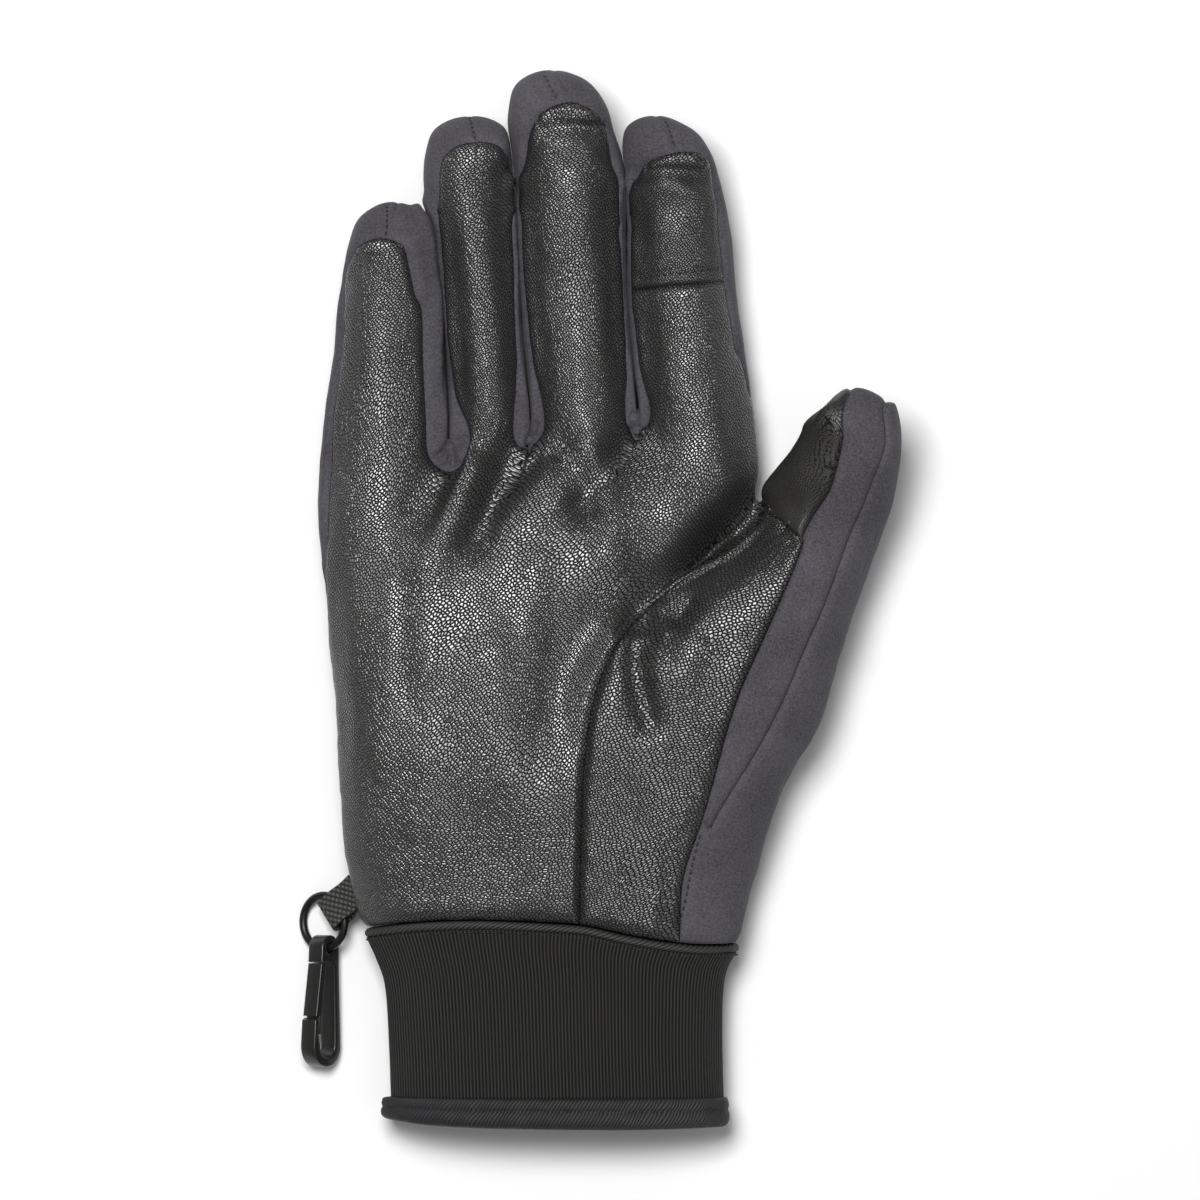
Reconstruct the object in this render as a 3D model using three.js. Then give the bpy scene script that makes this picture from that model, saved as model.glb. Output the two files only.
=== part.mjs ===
import * as THREE from 'three';

// A right-hand softshell glove lying palm up on its back, fingers towards +Y and thumb towards +X.
// Millimetres, +Z up. The origin is the middle of the footprint, on the surface that the glove lies on.

// Walls, seams and the piping
const LEATHER_WALL = 1.6;
const SOFTSHELL_WALL = 1.8;
const KNIT_WALL = 1.6;
const HEM_WALL = 2.8;
const SEAM_GAP = 0.3;
const BAND_WALL = 2.4;
const BAND_WIDTH = 2.0;
const BAND_PROUD = 0.4;

// The glove's own levels
const REST_LEVEL = 0;
const HEM_TOP = -118.2;
const STRIP_END = -56;
const EDGE_LEATHER_TOP = 3;

// How finely the shell is divided
const PALM_ROWS = 14;
const SIDE_STEPS = 4;
const CAP_STEPS = 3;
const CUFF_COLUMNS = 40;
const CUFF_ROWS = 5;

// The carrying loop, its ring and the snap hook
const WEBBING_WIDTH = 8;
const WEBBING_LAYER = 0.9;
const WEBBING_CLEARANCE = 0.35;
const RING_RADIUS = 6.3;
const RING_WIRE = 0.95;
const HOOK_DEPTH = 4.4;
const HOOK_WALL = 2.3;
const HOOK_EYE = 1.45;
const HOOK_CLEARANCE = 0.3;
const HOOK_TURN = 52;

const table = (columns, rows) => rows.map((row) => (
  Object.fromEntries(columns.map((name, i) => [name, row[i]]))
));

// Finger sections from the base to where the tip begins. y runs from the left side to the right one.
// side is the outline, seam is the edge of the leather front, mid and half give the height.
const SHAFT = ['yLeft', 'yRight', 'sideLeft', 'seamLeft', 'seamRight', 'sideRight', 'mid', 'half'];
const FINGERS = [
  {
    name: 'little',
    rows: table(SHAFT, [
      [33.4, 34.1, -66.2, -64.5, -40.3, -36.4, 12.5, 11.6],
      [43.0, 43.0, -65.2, -63.9, -40.6, -36.3, 12.8, 11.3],
      [52.0, 52.0, -64.2, -63.2, -40.9, -36.5, 13.2, 11.0],
      [61.0, 61.0, -63.0, -62.1, -41.2, -37.2, 13.8, 10.8],
      [70.5, 70.5, -61.9, -60.8, -41.8, -37.7, 14.8, 10.5],
      [79.9, 79.9, -60.7, -59.0, -43.6, -38.8, 16.2, 10.0],
    ]),
    tip: { x: -47.9, y: 94.1, seamX: -51.0, seamY: 86.0, rise: 1.5, roundLeft: 0.85, roundRight: 0.85 },
  },
  {
    name: 'ring',
    rows: table(SHAFT, [
      [37.1, 38.5, -35.2, -31.3, -19.9, -17.0, 12.0, 12.0],
      [49.5, 49.5, -35.7, -34.7, -19.3, -17.4, 12.2, 11.8],
      [62.0, 62.0, -36.5, -35.6, -19.9, -18.5, 12.8, 11.5],
      [74.5, 74.5, -37.1, -36.3, -20.6, -19.3, 13.8, 11.2],
      [85.1, 85.1, -38.6, -37.2, -21.2, -19.9, 15.0, 11.0],
      [93.6, 93.6, -41.2, -38.0, -21.7, -20.3, 16.2, 10.8],
      [100.5, 100.5, -41.8, -38.2, -22.3, -20.7, 17.3, 10.4],
    ]),
    tip: { x: -30.8, y: 114.7, seamX: -28.2, seamY: 109.0, rise: 1.5, roundLeft: 0.8, roundRight: 0.7 },
  },
  {
    name: 'middle',
    rows: table(SHAFT, [
      [39.6, 42.4, -16.0, -13.3, 6.3, 8.4, 12.0, 12.3],
      [52.0, 52.0, -16.8, -14.8, 6.1, 8.0, 12.2, 12.1],
      [63.0, 63.0, -18.0, -16.8, 5.7, 7.0, 12.8, 11.8],
      [76.8, 76.8, -18.8, -17.7, 4.9, 6.2, 13.9, 11.4],
      [87.0, 87.0, -19.2, -17.9, 4.4, 6.1, 15.0, 11.1],
      [95.0, 95.0, -19.5, -18.0, 4.0, 5.9, 16.0, 10.9],
      [103.0, 103.0, -20.0, -18.1, 3.3, 5.4, 17.0, 10.6],
      [111.2, 111.2, -21.8, -16.5, 1.9, 3.4, 18.0, 10.0],
    ]),
    tip: { x: -10.7, y: 125.4, seamX: -6.2, seamY: 117.6, rise: 1.5, roundLeft: 0.8, roundRight: 1 },
  },
  {
    name: 'index',
    rows: table(SHAFT, [
      [43.6, 22.3, 9.7, 11.6, 37.9, 38.6, 12.5, 12.5],
      [51.0, 41.0, 8.9, 10.6, 35.9, 36.6, 12.6, 12.2],
      [61.5, 58.0, 7.8, 8.6, 33.4, 34.4, 13.1, 11.8],
      [73.3, 76.2, 6.9, 7.6, 30.4, 31.9, 14.3, 11.4],
      [83.0, 84.5, 6.8, 7.4, 29.2, 31.2, 15.3, 11.2],
      [93.6, 93.6, 6.6, 7.3, 27.8, 30.1, 16.5, 11.0],
      [101.0, 101.0, 6.2, 8.2, 25.8, 27.8, 17.4, 10.5],
    ]),
    tip: { x: 13.3, y: 114.6, seamX: 18.4, seamY: 106.5, rise: 1.5, roundLeft: 0.8, roundRight: 0.85 },
  },
];
const INDEX_PATCH_ROW = 3;

// Thumb sections from the touch patch's seam to the tip. seamOne and seamTwo bound the softshell strip.
const THUMB_SHAFT = [
  'yLeft', 'yRight', 'sideLeft', 'seamLeft', 'seamOne', 'seamTwo', 'seamRight', 'sideRight', 'mid', 'half',
];
const THUMB = {
  name: 'thumb',
  rows: table(THUMB_SHAFT, [
    [22.6, 12.3, 39.5, 40.9, 49.1, 59.3, 63.8, 65.2, 21.5, 12.4],
    [28.2, 20.3, 40.5, 41.9, 53.8, 62.5, 66.8, 68.3, 24.0, 12.2],
    [33.3, 27.7, 43.8, 45.2, 55.6, 65.2, 68.9, 70.3, 26.6, 11.9],
    [39.0, 35.0, 47.5, 48.9, 57.0, 67.9, 69.9, 71.2, 29.4, 11.2],
  ]),
  tip: { x: 60.3, y: 50.2, seamX: 60.1, seamY: 49.0, rise: 3, roundLeft: 1.6, roundRight: 0.62 },
};
const LEATHER_COLUMNS = 4;
const STRIP_COLUMNS = 2;
const SHELL_COLUMNS = 2;

// The crotches between the fingers. x and y are the bottom of the leather's edge.
// slotX, slotY and slotZ are the dark gap's end.
const CROTCHES = table(['x', 'y', 'front', 'back', 'slotX', 'slotY', 'slotZ'], [
  [-35.4, 30.3, 19.6, 4.6, -35.7, 36.6, 12.0],
  [-16.6, 34.5, 19.6, 4.2, -16.6, 39.8, 12.0],
  [8.9, 37.8, 19.4, 4.2, 8.9, 43.0, 12.0],
  [38.8, 19.4, 19.0, 8.6, 38.9, 22.6, 14.0],
]);

// Lines that run up the palm, as x at each y
const LINE = ['y', 'x'];
const LEFT_SIDE = table(LINE, [
  [-80, -55.4], [-62, -60.2], [-47.6, -61.1], [-28.7, -62.3], [-9.7, -64.1], [4.5, -65.4], [18.7, -66.9],
  [33.4, -66.2],
]);
const LEFT_SEAM = table(LINE, [
  [-80, -54.4], [-62, -59.2], [-47.6, -60.1], [-28.7, -61.3], [-9.7, -63.1], [4.5, -64.4], [18.7, -65.6],
  [33.4, -64.5],
]);
const THUMB_SEAM = table(LINE, [
  [-76.8, -5.1], [-58.1, -4.7], [-41.2, -4.3], [-26.3, -2.8], [-15.6, 0.2], [-6.2, 5.9], [2.6, 14.2],
  [10.2, 26.5], [19.4, 38.8],
]);
const SEAM_ONE = table(LINE, [
  [-81.1, 19.2], [-66.6, 19.9], [-54.5, 24.0], [-41.7, 27.5], [-23.9, 32.5], [-5.0, 40.8], [16, 49.1],
]);
const SEAM_TWO = table(LINE, [
  [-81.5, 24.4], [-67.8, 23.9], [-54.5, 26.0], [-41.5, 34.1], [-26.3, 42.4], [-5.0, 51.7], [14, 59.3],
]);
const RIGHT_SIDE = table(LINE, [
  [-82.5, 32.6], [-69.7, 35.3], [-59.5, 38.6], [-50.5, 41.0], [-39.3, 46.2], [-30.1, 51.7], [-19.7, 54.9],
  [-13.3, 56.3], [-4.0, 60.0], [12.3, 65.2],
]);
const RIGHT_SEAM_INSET = 1.4;
const BACK_INSET = 3.2;

// Line where the glove meets the piping, as y at each x
const CUFF_LINE = table(['x', 'y'], [
  [-56, -77.7], [-41.7, -76.1], [-28.4, -75.6], [-15.2, -76.1], [-4.5, -76.8], [4.9, -78.8], [16.8, -80.8],
  [24.9, -81.5], [33, -81.1],
]);

// Heights up the hand: the sides, the crown of the palm, the crown and back of the thumb's mound,
// and how far each mound runs past the thumb seam
const HEIGHTS = table(['y', 'side', 'crown', 'thumbSide', 'thumbCrown', 'thumbBack', 'past'], [
  [-84, 13.3, 26.6, 13.3, 26.6, -1.5, 42],
  [-60, 14.5, 30.0, 15.0, 30.8, -1.0, 32],
  [-38, 15.3, 32.5, 17.2, 34.5, 0.6, 19],
  [-16, 15.2, 32.6, 19.2, 36.4, 3.6, 9.5],
  [2, 14.6, 31.0, 20.6, 36.0, 6.8, 5],
  [20, 13.6, 28.4, 21.6, 34.6, 9.4, 2.2],
  [42, 12.6, 25.0, 21.6, 34.6, 9.4, 2.2],
]);
const FRONT_POWER = 2.6;
const BACK_POWER = 3.4;
const BACK_SINK = 1.8;
const MOUND_BLEND = 4.5;
const FINGER_REACH = 0.74;
const NOTCH_START = 0.8;
const NOTCH_POWER = 2.5;
const SLIDE = 0.85;
const SLIDE_SLOPE = 0.3;

// Main folds of the leather: a line of three points, its half width and its height, negative for a hollow
const FOLDS = table(['x1', 'y1', 'x2', 'y2', 'x3', 'y3', 'width', 'height'], [
  [-20.5, 42, -25.5, 26, -31.5, 8, 4.5, -2.8],
  [-27.5, 36, -36, 22, -43.5, 0, 5.5, 1.6],
  [-12, 40, -5.5, 30, -3, 16, 5, -1.8],
  [-7, 40, 2, 26, 0.5, 2, 5, 1.8],
  [-12, 0, -10, -22, -4, -48, 6, -1.3],
  [-27, -6, -23, -28, -14, -58, 8, 1.2],
  [34, 19, 21, 9, 4, -8, 5, -1.8],
  [16, -3, 15, -15, 9, -28, 3.5, -1.6],
  [19.5, -4, 27, -12, 24, -32, 6.5, 1.4],
  [24.5, -4, 21.5, -7.5, 20, -12, 2, -1.2],
]);

// Knitted cuff, from the piping down to the hem
const CUFF = table(['step', 'left', 'right', 'top'], [
  [0, -55.4, 32.6, 26.6],
  [0.12, -53.3, 30.3, 26.2],
  [0.3, -51.3, 29.3, 25.8],
  [0.65, -50.1, 28.9, 25.6],
  [1, -49.5, 29.2, 25.6],
]);
const HEM_LINE = table(['x', 'y'], [
  [-51.8, -122.8],
  [-38, -124.5],
  [-22, -125.1],
  [5, -125.4],
  [30.5, -124.8],
]);
const HEM_LEFT = -51.7;
const HEM_RIGHT = 30.5;
const HEM_HEIGHT = 26.4;
const CUFF_POWER = 2.5;

// The loop comes out of the glove's side; the ring lies half tipped in it and the hook hangs from the ring
const LOOP_ON_RING = 38;
const LOOP_REACH = 4.7;
const LOOP_SKEW = 0.35;
const LOOP_SLACK = 1.2;
const RING_CENTRE = new THREE.Vector3(-65.6, -76.5, 5.0);
const HOOK_TIP = new THREE.Vector3(-66.5, -110.9, 5.5);

const lerp = (a, b, t) => a + (b - a) * t;
const clamp = (value, low, high) => Math.min(high, Math.max(low, value));
const ease = (t) => t * t * (3 - 2 * t);

// A smooth line through a table's rows without overshoot: the value of one column at a value of another
function track(rows, from, to) {
  const slopes = rows.slice(1).map((row, i) => (row[to] - rows[i][to]) / (row[from] - rows[i][from]));
  const bends = rows.map((row, i) => {
    const before = slopes[Math.max(0, i - 1)];
    const after = slopes[Math.min(slopes.length - 1, i)];
    return before * after <= 0 ? 0 : (2 * before * after) / (before + after);
  });
  return (value) => {
    const at = clamp(value, rows[0][from], rows[rows.length - 1][from]);
    const found = rows.findIndex((row, i) => i > 0 && at <= row[from]);
    const i = Math.max(1, found);
    const span = rows[i][from] - rows[i - 1][from];
    const t = (at - rows[i - 1][from]) / span;
    const start = rows[i - 1][to] * (1 + 2 * t) * (1 - t) * (1 - t);
    const end = rows[i][to] * t * t * (3 - 2 * t);
    return start + end + span * (bends[i - 1] * t * (1 - t) * (1 - t) - bends[i] * t * t * (1 - t));
  };
}

const cuffLineAt = track(CUFF_LINE, 'x', 'y');
const leftSideAt = track(LEFT_SIDE, 'y', 'x');
const rightSideAt = track(RIGHT_SIDE, 'y', 'x');
const thumbSeamAt = track(THUMB_SEAM, 'y', 'x');
const seamOneAt = track(SEAM_ONE, 'y', 'x');
const seamTwoAt = track(SEAM_TWO, 'y', 'x');
const leftSeamAt = track(LEFT_SEAM, 'y', 'x');
const heightAt = Object.fromEntries(
  ['side', 'crown', 'thumbSide', 'thumbCrown', 'thumbBack', 'past'].map((name) => (
    [name, track(HEIGHTS, 'y', name)]
  )),
);

// Height of a rounded mound between two sides, 1 at the middle and 0 at the sides
function mound(x, left, right, power) {
  const across = clamp(Math.abs((2 * x - left - right) / (right - left)), 0, 1);
  return (1 - across ** power) ** (1 / power);
}

function smoothMax(a, b, blend) {
  const near = Math.max(blend - Math.abs(a - b), 0) / blend;
  return Math.max(a, b) + near * near * blend * 0.25;
}

function foldHeight(x, y) {
  let sum = 0;
  for (const fold of FOLDS) {
    const line = new THREE.QuadraticBezierCurve3(
      new THREE.Vector3(fold.x1, fold.y1, 0),
      new THREE.Vector3(2 * fold.x2 - (fold.x1 + fold.x3) / 2, 2 * fold.y2 - (fold.y1 + fold.y3) / 2, 0),
      new THREE.Vector3(fold.x3, fold.y3, 0),
    );
    let nearest = Infinity;
    let along = 0;
    for (let i = 0; i <= 16; i += 1) {
      const point = line.getPoint(i / 16);
      const distance = Math.hypot(point.x - x, point.y - y);
      if (distance < nearest) {
        nearest = distance;
        along = i / 16;
      }
    }
    const taper = ease(clamp(Math.min(along, 1 - along) * 4 + 0.15, 0, 1));
    sum += fold.height * taper * Math.exp(-((nearest / fold.width) ** 2));
  }
  return sum;
}

// Height of the palm side of the hand, before it meets the fingers
function palmFront(x, y) {
  const seam = thumbSeamAt(y);
  const past = heightAt.past(y);
  const side = heightAt.side(y);
  const thumbSide = heightAt.thumbSide(y);
  const palm = side + (heightAt.crown(y) - side) * mound(x, leftSideAt(y), seam + past, FRONT_POWER);
  const thumbLeft = Math.max(seam - past, leftSideAt(y));
  const right = Math.min(rightSideAt(y), 66);
  const thumb = thumbSide + (heightAt.thumbCrown(y) - thumbSide) * mound(x, thumbLeft, right, FRONT_POWER);
  const palmInside = x < seam + past ? palm : side - 6;
  const thumbInside = x > thumbLeft ? thumb : thumbSide - 6;
  return smoothMax(palmInside, thumbInside, MOUND_BLEND) + foldHeight(x, y);
}

// Height of the back of the hand, before it meets the fingers
function palmBack(x, y) {
  const seam = thumbSeamAt(y);
  const past = heightAt.past(y) * 1.2;
  const side = heightAt.side(y);
  const thumbSide = heightAt.thumbSide(y);
  const palm = side - (side + BACK_SINK) * mound(x, leftSideAt(y), seam + past, BACK_POWER);
  const thumbLeft = Math.max(seam - past, leftSideAt(y));
  const right = Math.min(rightSideAt(y), 66);
  const thumb = thumbSide
    - (thumbSide - heightAt.thumbBack(y)) * mound(x, thumbLeft, right, FRONT_POWER);
  const palmInside = x < seam + past ? palm : side + 6;
  const thumbInside = x > thumbLeft ? thumb : thumbSide + 6;
  return -smoothMax(-palmInside, -thumbInside, MOUND_BLEND);
}

const point = (x, y, z) => new THREE.Vector3(x, y, z);
const onRest = (z) => Math.max(z, REST_LEVEL);

// One section of a finger: where a share of its width lies, and how high it is there, front or back
function sectionPoint(row, x, back) {
  const centre = (row.sideLeft + row.sideRight) / 2;
  const reach = (row.sideRight - row.sideLeft) / 2;
  const out = clamp(Math.abs(x - centre) / reach, 0, 0.995);
  const rise = row.half * Math.sqrt(1 - out * out);
  const y = lerp(row.yLeft, row.yRight, (x - row.sideLeft) / (2 * reach));
  return point(x, y, back ? onRest(row.mid - rise) : row.mid + rise);
}

// The x of each column line across a section's front or back
function columnLines(digit, row, back) {
  if (back) {
    const centre = (row.sideLeft + row.sideRight) / 2;
    const reach = ((row.sideRight - row.sideLeft) / 2) * 0.8;
    return digit.columns.map((share) => centre + reach * (2 * share - 1));
  }
  if (digit.name !== 'thumb') {
    return digit.columns.map((share) => lerp(row.seamLeft, row.seamRight, share));
  }
  const spans = [[row.seamLeft, row.seamOne], [row.seamOne, row.seamTwo], [row.seamTwo, row.seamRight]];
  const counts = [LEATHER_COLUMNS, STRIP_COLUMNS, SHELL_COLUMNS];
  const lines = [row.seamLeft];
  spans.forEach(([from, to], i) => {
    for (let k = 1; k <= counts[i]; k += 1) {
      lines.push(lerp(from, to, k / counts[i]));
    }
  });
  return lines;
}

const evenly = (count) => Array.from({ length: count + 1 }, (_, i) => i / count);
FINGERS.forEach((finger) => {
  finger.columns = evenly(4);
});
THUMB.columns = evenly(LEATHER_COLUMNS + STRIP_COLUMNS + SHELL_COLUMNS);
const DIGITS = [...FINGERS, THUMB];

// The rounded end of a digit: a half disc carried on the last section's width and the tip
class Cap {
  constructor(digit) {
    const last = digit.rows[digit.rows.length - 1];
    this.digit = digit;
    this.last = last;
    this.tip = digit.tip;
    this.sides = this.frame(last.sideLeft, last.sideRight, digit.tip.x, digit.tip.y);
    this.seams = this.frame(last.seamLeft, last.seamRight, digit.tip.seamX, digit.tip.seamY);
    const reach = (last.sideRight - last.sideLeft) / 2;
    const centre = (last.sideLeft + last.sideRight) / 2;
    this.outLeft = (centre - last.seamLeft) / reach;
    this.outRight = (last.seamRight - centre) / reach;
    this.outTip = (digit.tip.seamY - this.sides.centre.y) / (digit.tip.y - this.sides.centre.y);
    const shrunk = reach * 0.8;
    const backTip = lerp(this.sides.centre.y, digit.tip.y, 0.8);
    this.backs = this.frame(centre - shrunk, centre + shrunk, lerp(centre, digit.tip.x, 0.8), backTip);
  }

  frame(left, right, tipX, tipY) {
    const slope = (this.last.yRight - this.last.yLeft) / (this.last.sideRight - this.last.sideLeft);
    const yAt = (x) => this.last.yLeft + slope * (x - this.last.sideLeft);
    const centre = new THREE.Vector2((left + right) / 2, yAt((left + right) / 2));
    return {
      centre,
      across: new THREE.Vector2(right, yAt(right)).sub(centre),
      up: new THREE.Vector2(tipX, tipY).sub(centre),
    };
  }

  place(frame, u, up) {
    const round = u < 0 ? this.tip.roundLeft : this.tip.roundRight;
    const a = u * Math.sqrt(1 - (round * up * up) / 2);
    const b = up * Math.sqrt(1 - (round * u * u) / 2);
    return frame.centre.clone().addScaledVector(frame.across, a).addScaledVector(frame.up, b);
  }

  // How far out of the middle the sheet's edge lies in a direction, as a share of the outline
  edge(u, up, back) {
    if (back) {
      return 0.8;
    }
    const side = u < 0 ? this.outLeft : this.outRight;
    return lerp(side, this.outTip, Math.atan2(up, Math.abs(u)) / (Math.PI / 2));
  }

  sheetPoint(u, up, back) {
    const flat = this.place(back ? this.backs : this.seams, u, up);
    const radius = Math.min(1, Math.sqrt(u * u + up * up - u * u * up * up));
    const out = radius * this.edge(u, up, back);
    const rise = this.last.half * Math.sqrt(1 - out * out);
    const mid = this.last.mid + this.tip.rise * up;
    return point(flat.x, flat.y, back ? onRest(mid - rise) : mid + rise);
  }

  outline(u, up) {
    const flat = this.place(this.sides, u, up);
    return point(flat.x, flat.y, this.last.mid + this.tip.rise * up);
  }
}

// Column lines of the hand from the little finger to the thumb, with the point where each one ends
function handLines(back) {
  const lines = [];
  FINGERS.forEach((finger, i) => {
    const row = finger.rows[0];
    columnLines(finger, row, back).forEach((x) => lines.push(sectionPoint(row, x, back)));
    const crotch = CROTCHES[i];
    lines.push(point(crotch.x, crotch.y, back ? crotch.back : crotch.front));
  });
  columnLines(THUMB, THUMB.rows[0], back).forEach((x) => {
    lines.push(sectionPoint(THUMB.rows[0], x, back));
  });
  return lines;
}

const THUMB_SEAM_LINE = FINGERS.length * 6 - 1;
const SEAM_ONE_LINE = THUMB_SEAM_LINE + 1 + LEATHER_COLUMNS;
const SEAM_TWO_LINE = SEAM_ONE_LINE + STRIP_COLUMNS;
const LAST_LINE = SEAM_TWO_LINE + SHELL_COLUMNS;

// The y of a line of the hand at a share up. The dip of a crotch's line fades within a row or two.
function rowY(tops, line, startY, up) {
  const crotch = line <= THUMB_SEAM_LINE && line % 6 === 5;
  const level = crotch ? (tops[line - 1].y + tops[line + 1].y) / 2 : tops[line].y;
  const notch = clamp((up - NOTCH_START) / (1 - NOTCH_START), 0, 1) ** NOTCH_POWER;
  return lerp(startY, level, up) + (tops[line].y - level) * notch;
}

// Points of the hand's front or back, keyed by line and row
function handPoints(back) {
  const tops = handLines(back);
  const height = back ? palmBack : palmFront;
  const inset = back ? BACK_INSET : RIGHT_SEAM_INSET;
  const rails = [
    { line: 0, at: back ? (y) => leftSideAt(y) + BACK_INSET : leftSeamAt },
    { line: THUMB_SEAM_LINE, at: thumbSeamAt },
    { line: SEAM_ONE_LINE, at: seamOneAt },
    { line: SEAM_TWO_LINE, at: seamTwoAt },
    { line: LAST_LINE, at: (y) => rightSideAt(y) - inset },
  ];
  const points = new Map();
  const starts = tops.map((top, line) => {
    const rail = Math.max(1, rails.findIndex((candidate) => line <= candidate.line));
    const [from, to] = [rails[rail - 1], rails[rail]];
    const share = (line - from.line) / (to.line - from.line);
    return { from, to, share, x: lerp(from.at(-80), to.at(-80), share) };
  });
  tops.forEach((top, line) => {
    const { from, to, share, x: startX } = starts[line];
    const fromTop = tops[from.line].x;
    const toTop = tops[to.line].x;
    const topShare = (top.x - fromTop) / (toTop - fromTop);
    const startY = cuffLineAt(startX);
    const topGap = top.z - height(top.x, top.y);
    for (let row = 0; row <= PALM_ROWS; row += 1) {
      const up = row / PALM_ROWS;
      const y = rowY(tops, line, startY, up);
      const fromY = rowY(tops, from.line, cuffLineAt(from.at(-80)), up);
      const toY = rowY(tops, to.line, cuffLineAt(to.at(-80)), up);
      const settle = ease(clamp((up - FINGER_REACH) / (1 - FINGER_REACH), 0, 1));
      const fromX = from.at(fromY) + (fromTop - from.at(tops[from.line].y)) * settle;
      const toX = to.at(toY) + (toTop - to.at(tops[to.line].y)) * settle;
      const straight = line < THUMB_SEAM_LINE ? settle * SLIDE * Math.min(1, 4.4 * share * (1 - share)) : 0;
      const below = top.x - SLIDE_SLOPE * (top.y - y);
      const x = lerp(lerp(fromX, toX, lerp(share, topShare, ease(up))), below, straight);
      const z = height(x, y) + topGap * settle;
      points.set(`hand ${line} ${row}`, point(x, y, back ? onRest(z) : z));
    }
  });
  return points;
}

const firstLine = (digit) => (
  digit === THUMB ? THUMB_SEAM_LINE + 1 : FINGERS.indexOf(digit) * 6
);

// A digit's sheet is a grid: rows up the shaft, then the steps of its rounded end
function digitKey(digit, column, row) {
  return row === 0 ? `hand ${firstLine(digit) + column} ${PALM_ROWS}` : `${digit.name} ${column} ${row}`;
}

const capOf = new Map(DIGITS.map((digit) => [digit, new Cap(digit)]));
const sheetRows = (digit) => digit.rows.length - 1 + CAP_STEPS;

function capShare(digit, column, back) {
  const last = digit.rows[digit.rows.length - 1];
  const lines = columnLines(digit, last, back);
  return (2 * (lines[column] - lines[0])) / (lines[lines.length - 1] - lines[0]) - 1;
}

function sheetPoints(back) {
  const points = handPoints(back);
  DIGITS.forEach((digit) => {
    digit.rows.forEach((row, r) => {
      columnLines(digit, row, back).forEach((x, column) => {
        points.set(digitKey(digit, column, r), sectionPoint(row, x, back));
      });
    });
    for (let step = 1; step <= CAP_STEPS; step += 1) {
      digit.columns.forEach((_, column) => {
        const u = capShare(digit, column, back);
        const key = digitKey(digit, column, digit.rows.length - 1 + step);
        points.set(key, capOf.get(digit).sheetPoint(u, step / CAP_STEPS, back));
      });
    }
  });
  return points;
}

// Which piece the front of the hand or of a digit belongs to
function handPiece(line, y) {
  if (line < THUMB_SEAM_LINE) {
    return 'palm_leather';
  }
  if (line < SEAM_ONE_LINE) {
    return 'thumb_leather';
  }
  return line < SEAM_TWO_LINE && y > STRIP_END ? 'thumb_strip' : 'back_shell';
}

function digitPiece(digit, column, row) {
  if (digit === THUMB) {
    if (column < LEATHER_COLUMNS) {
      return 'thumb_touch_patch';
    }
    return column < LEATHER_COLUMNS + STRIP_COLUMNS ? 'thumb_strip' : 'back_shell';
  }
  return digit.name === 'index' && row >= INDEX_PATCH_ROW ? 'index_touch_patch' : 'palm_leather';
}

function sheetQuads(frontPoints) {
  const quads = [];
  for (let line = 0; line < LAST_LINE; line += 1) {
    for (let row = 0; row < PALM_ROWS; row += 1) {
      const keys = [[line, row], [line + 1, row], [line + 1, row + 1], [line, row + 1]]
        .map(([l, r]) => `hand ${l} ${r}`);
      quads.push({ keys, piece: handPiece(line, frontPoints.get(keys[0]).y) });
    }
  }
  DIGITS.forEach((digit) => {
    for (let column = 0; column < digit.columns.length - 1; column += 1) {
      for (let row = 0; row < sheetRows(digit); row += 1) {
        const keys = [[column, row], [column + 1, row], [column + 1, row + 1], [column, row + 1]]
          .map(([c, r]) => digitKey(digit, c, r));
        quads.push({ keys, piece: digitPiece(digit, column, row) });
      }
    }
  });
  return quads;
}

// The side wall is one long strip, from the cuff's left side over every fingertip to its right side.
// Each station has a key shared by the front and back sheets, and the outline's own point.
function stationsOf(digit) {
  const stations = [];
  const last = digit.columns.length - 1;
  const shaft = digit.rows.length - 1;
  const cap = capOf.get(digit);
  const onRow = (r, column) => {
    const row = digit.rows[r];
    const left = column === 0;
    const out = left ? cap.outLeft : cap.outRight;
    const x = left ? row.sideLeft : row.sideRight;
    const seam = left ? row.seamLeft : row.seamRight;
    const centre = (row.sideLeft + row.sideRight) / 2;
    return {
      key: digitKey(digit, column, r),
      outline: point(x, left ? row.yLeft : row.yRight, row.mid),
      out: r === shaft ? out : Math.abs(seam - centre) / ((row.sideRight - row.sideLeft) / 2),
    };
  };
  const onCap = (column, step) => {
    const u = capShare(digit, column, false);
    const up = step / CAP_STEPS;
    return {
      key: digitKey(digit, column, shaft + step),
      outline: cap.outline(u, up),
      out: cap.edge(u, up, false),
    };
  };
  for (let r = 0; r <= shaft; r += 1) {
    stations.push(onRow(r, 0));
  }
  for (let step = 1; step <= CAP_STEPS; step += 1) {
    stations.push(onCap(0, step));
  }
  for (let column = 1; column <= last; column += 1) {
    stations.push(onCap(column, CAP_STEPS));
  }
  for (let step = CAP_STEPS - 1; step >= 1; step -= 1) {
    stations.push(onCap(last, step));
  }
  for (let r = shaft; r >= 0; r -= 1) {
    stations.push(onRow(r, last));
  }
  return stations;
}

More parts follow.
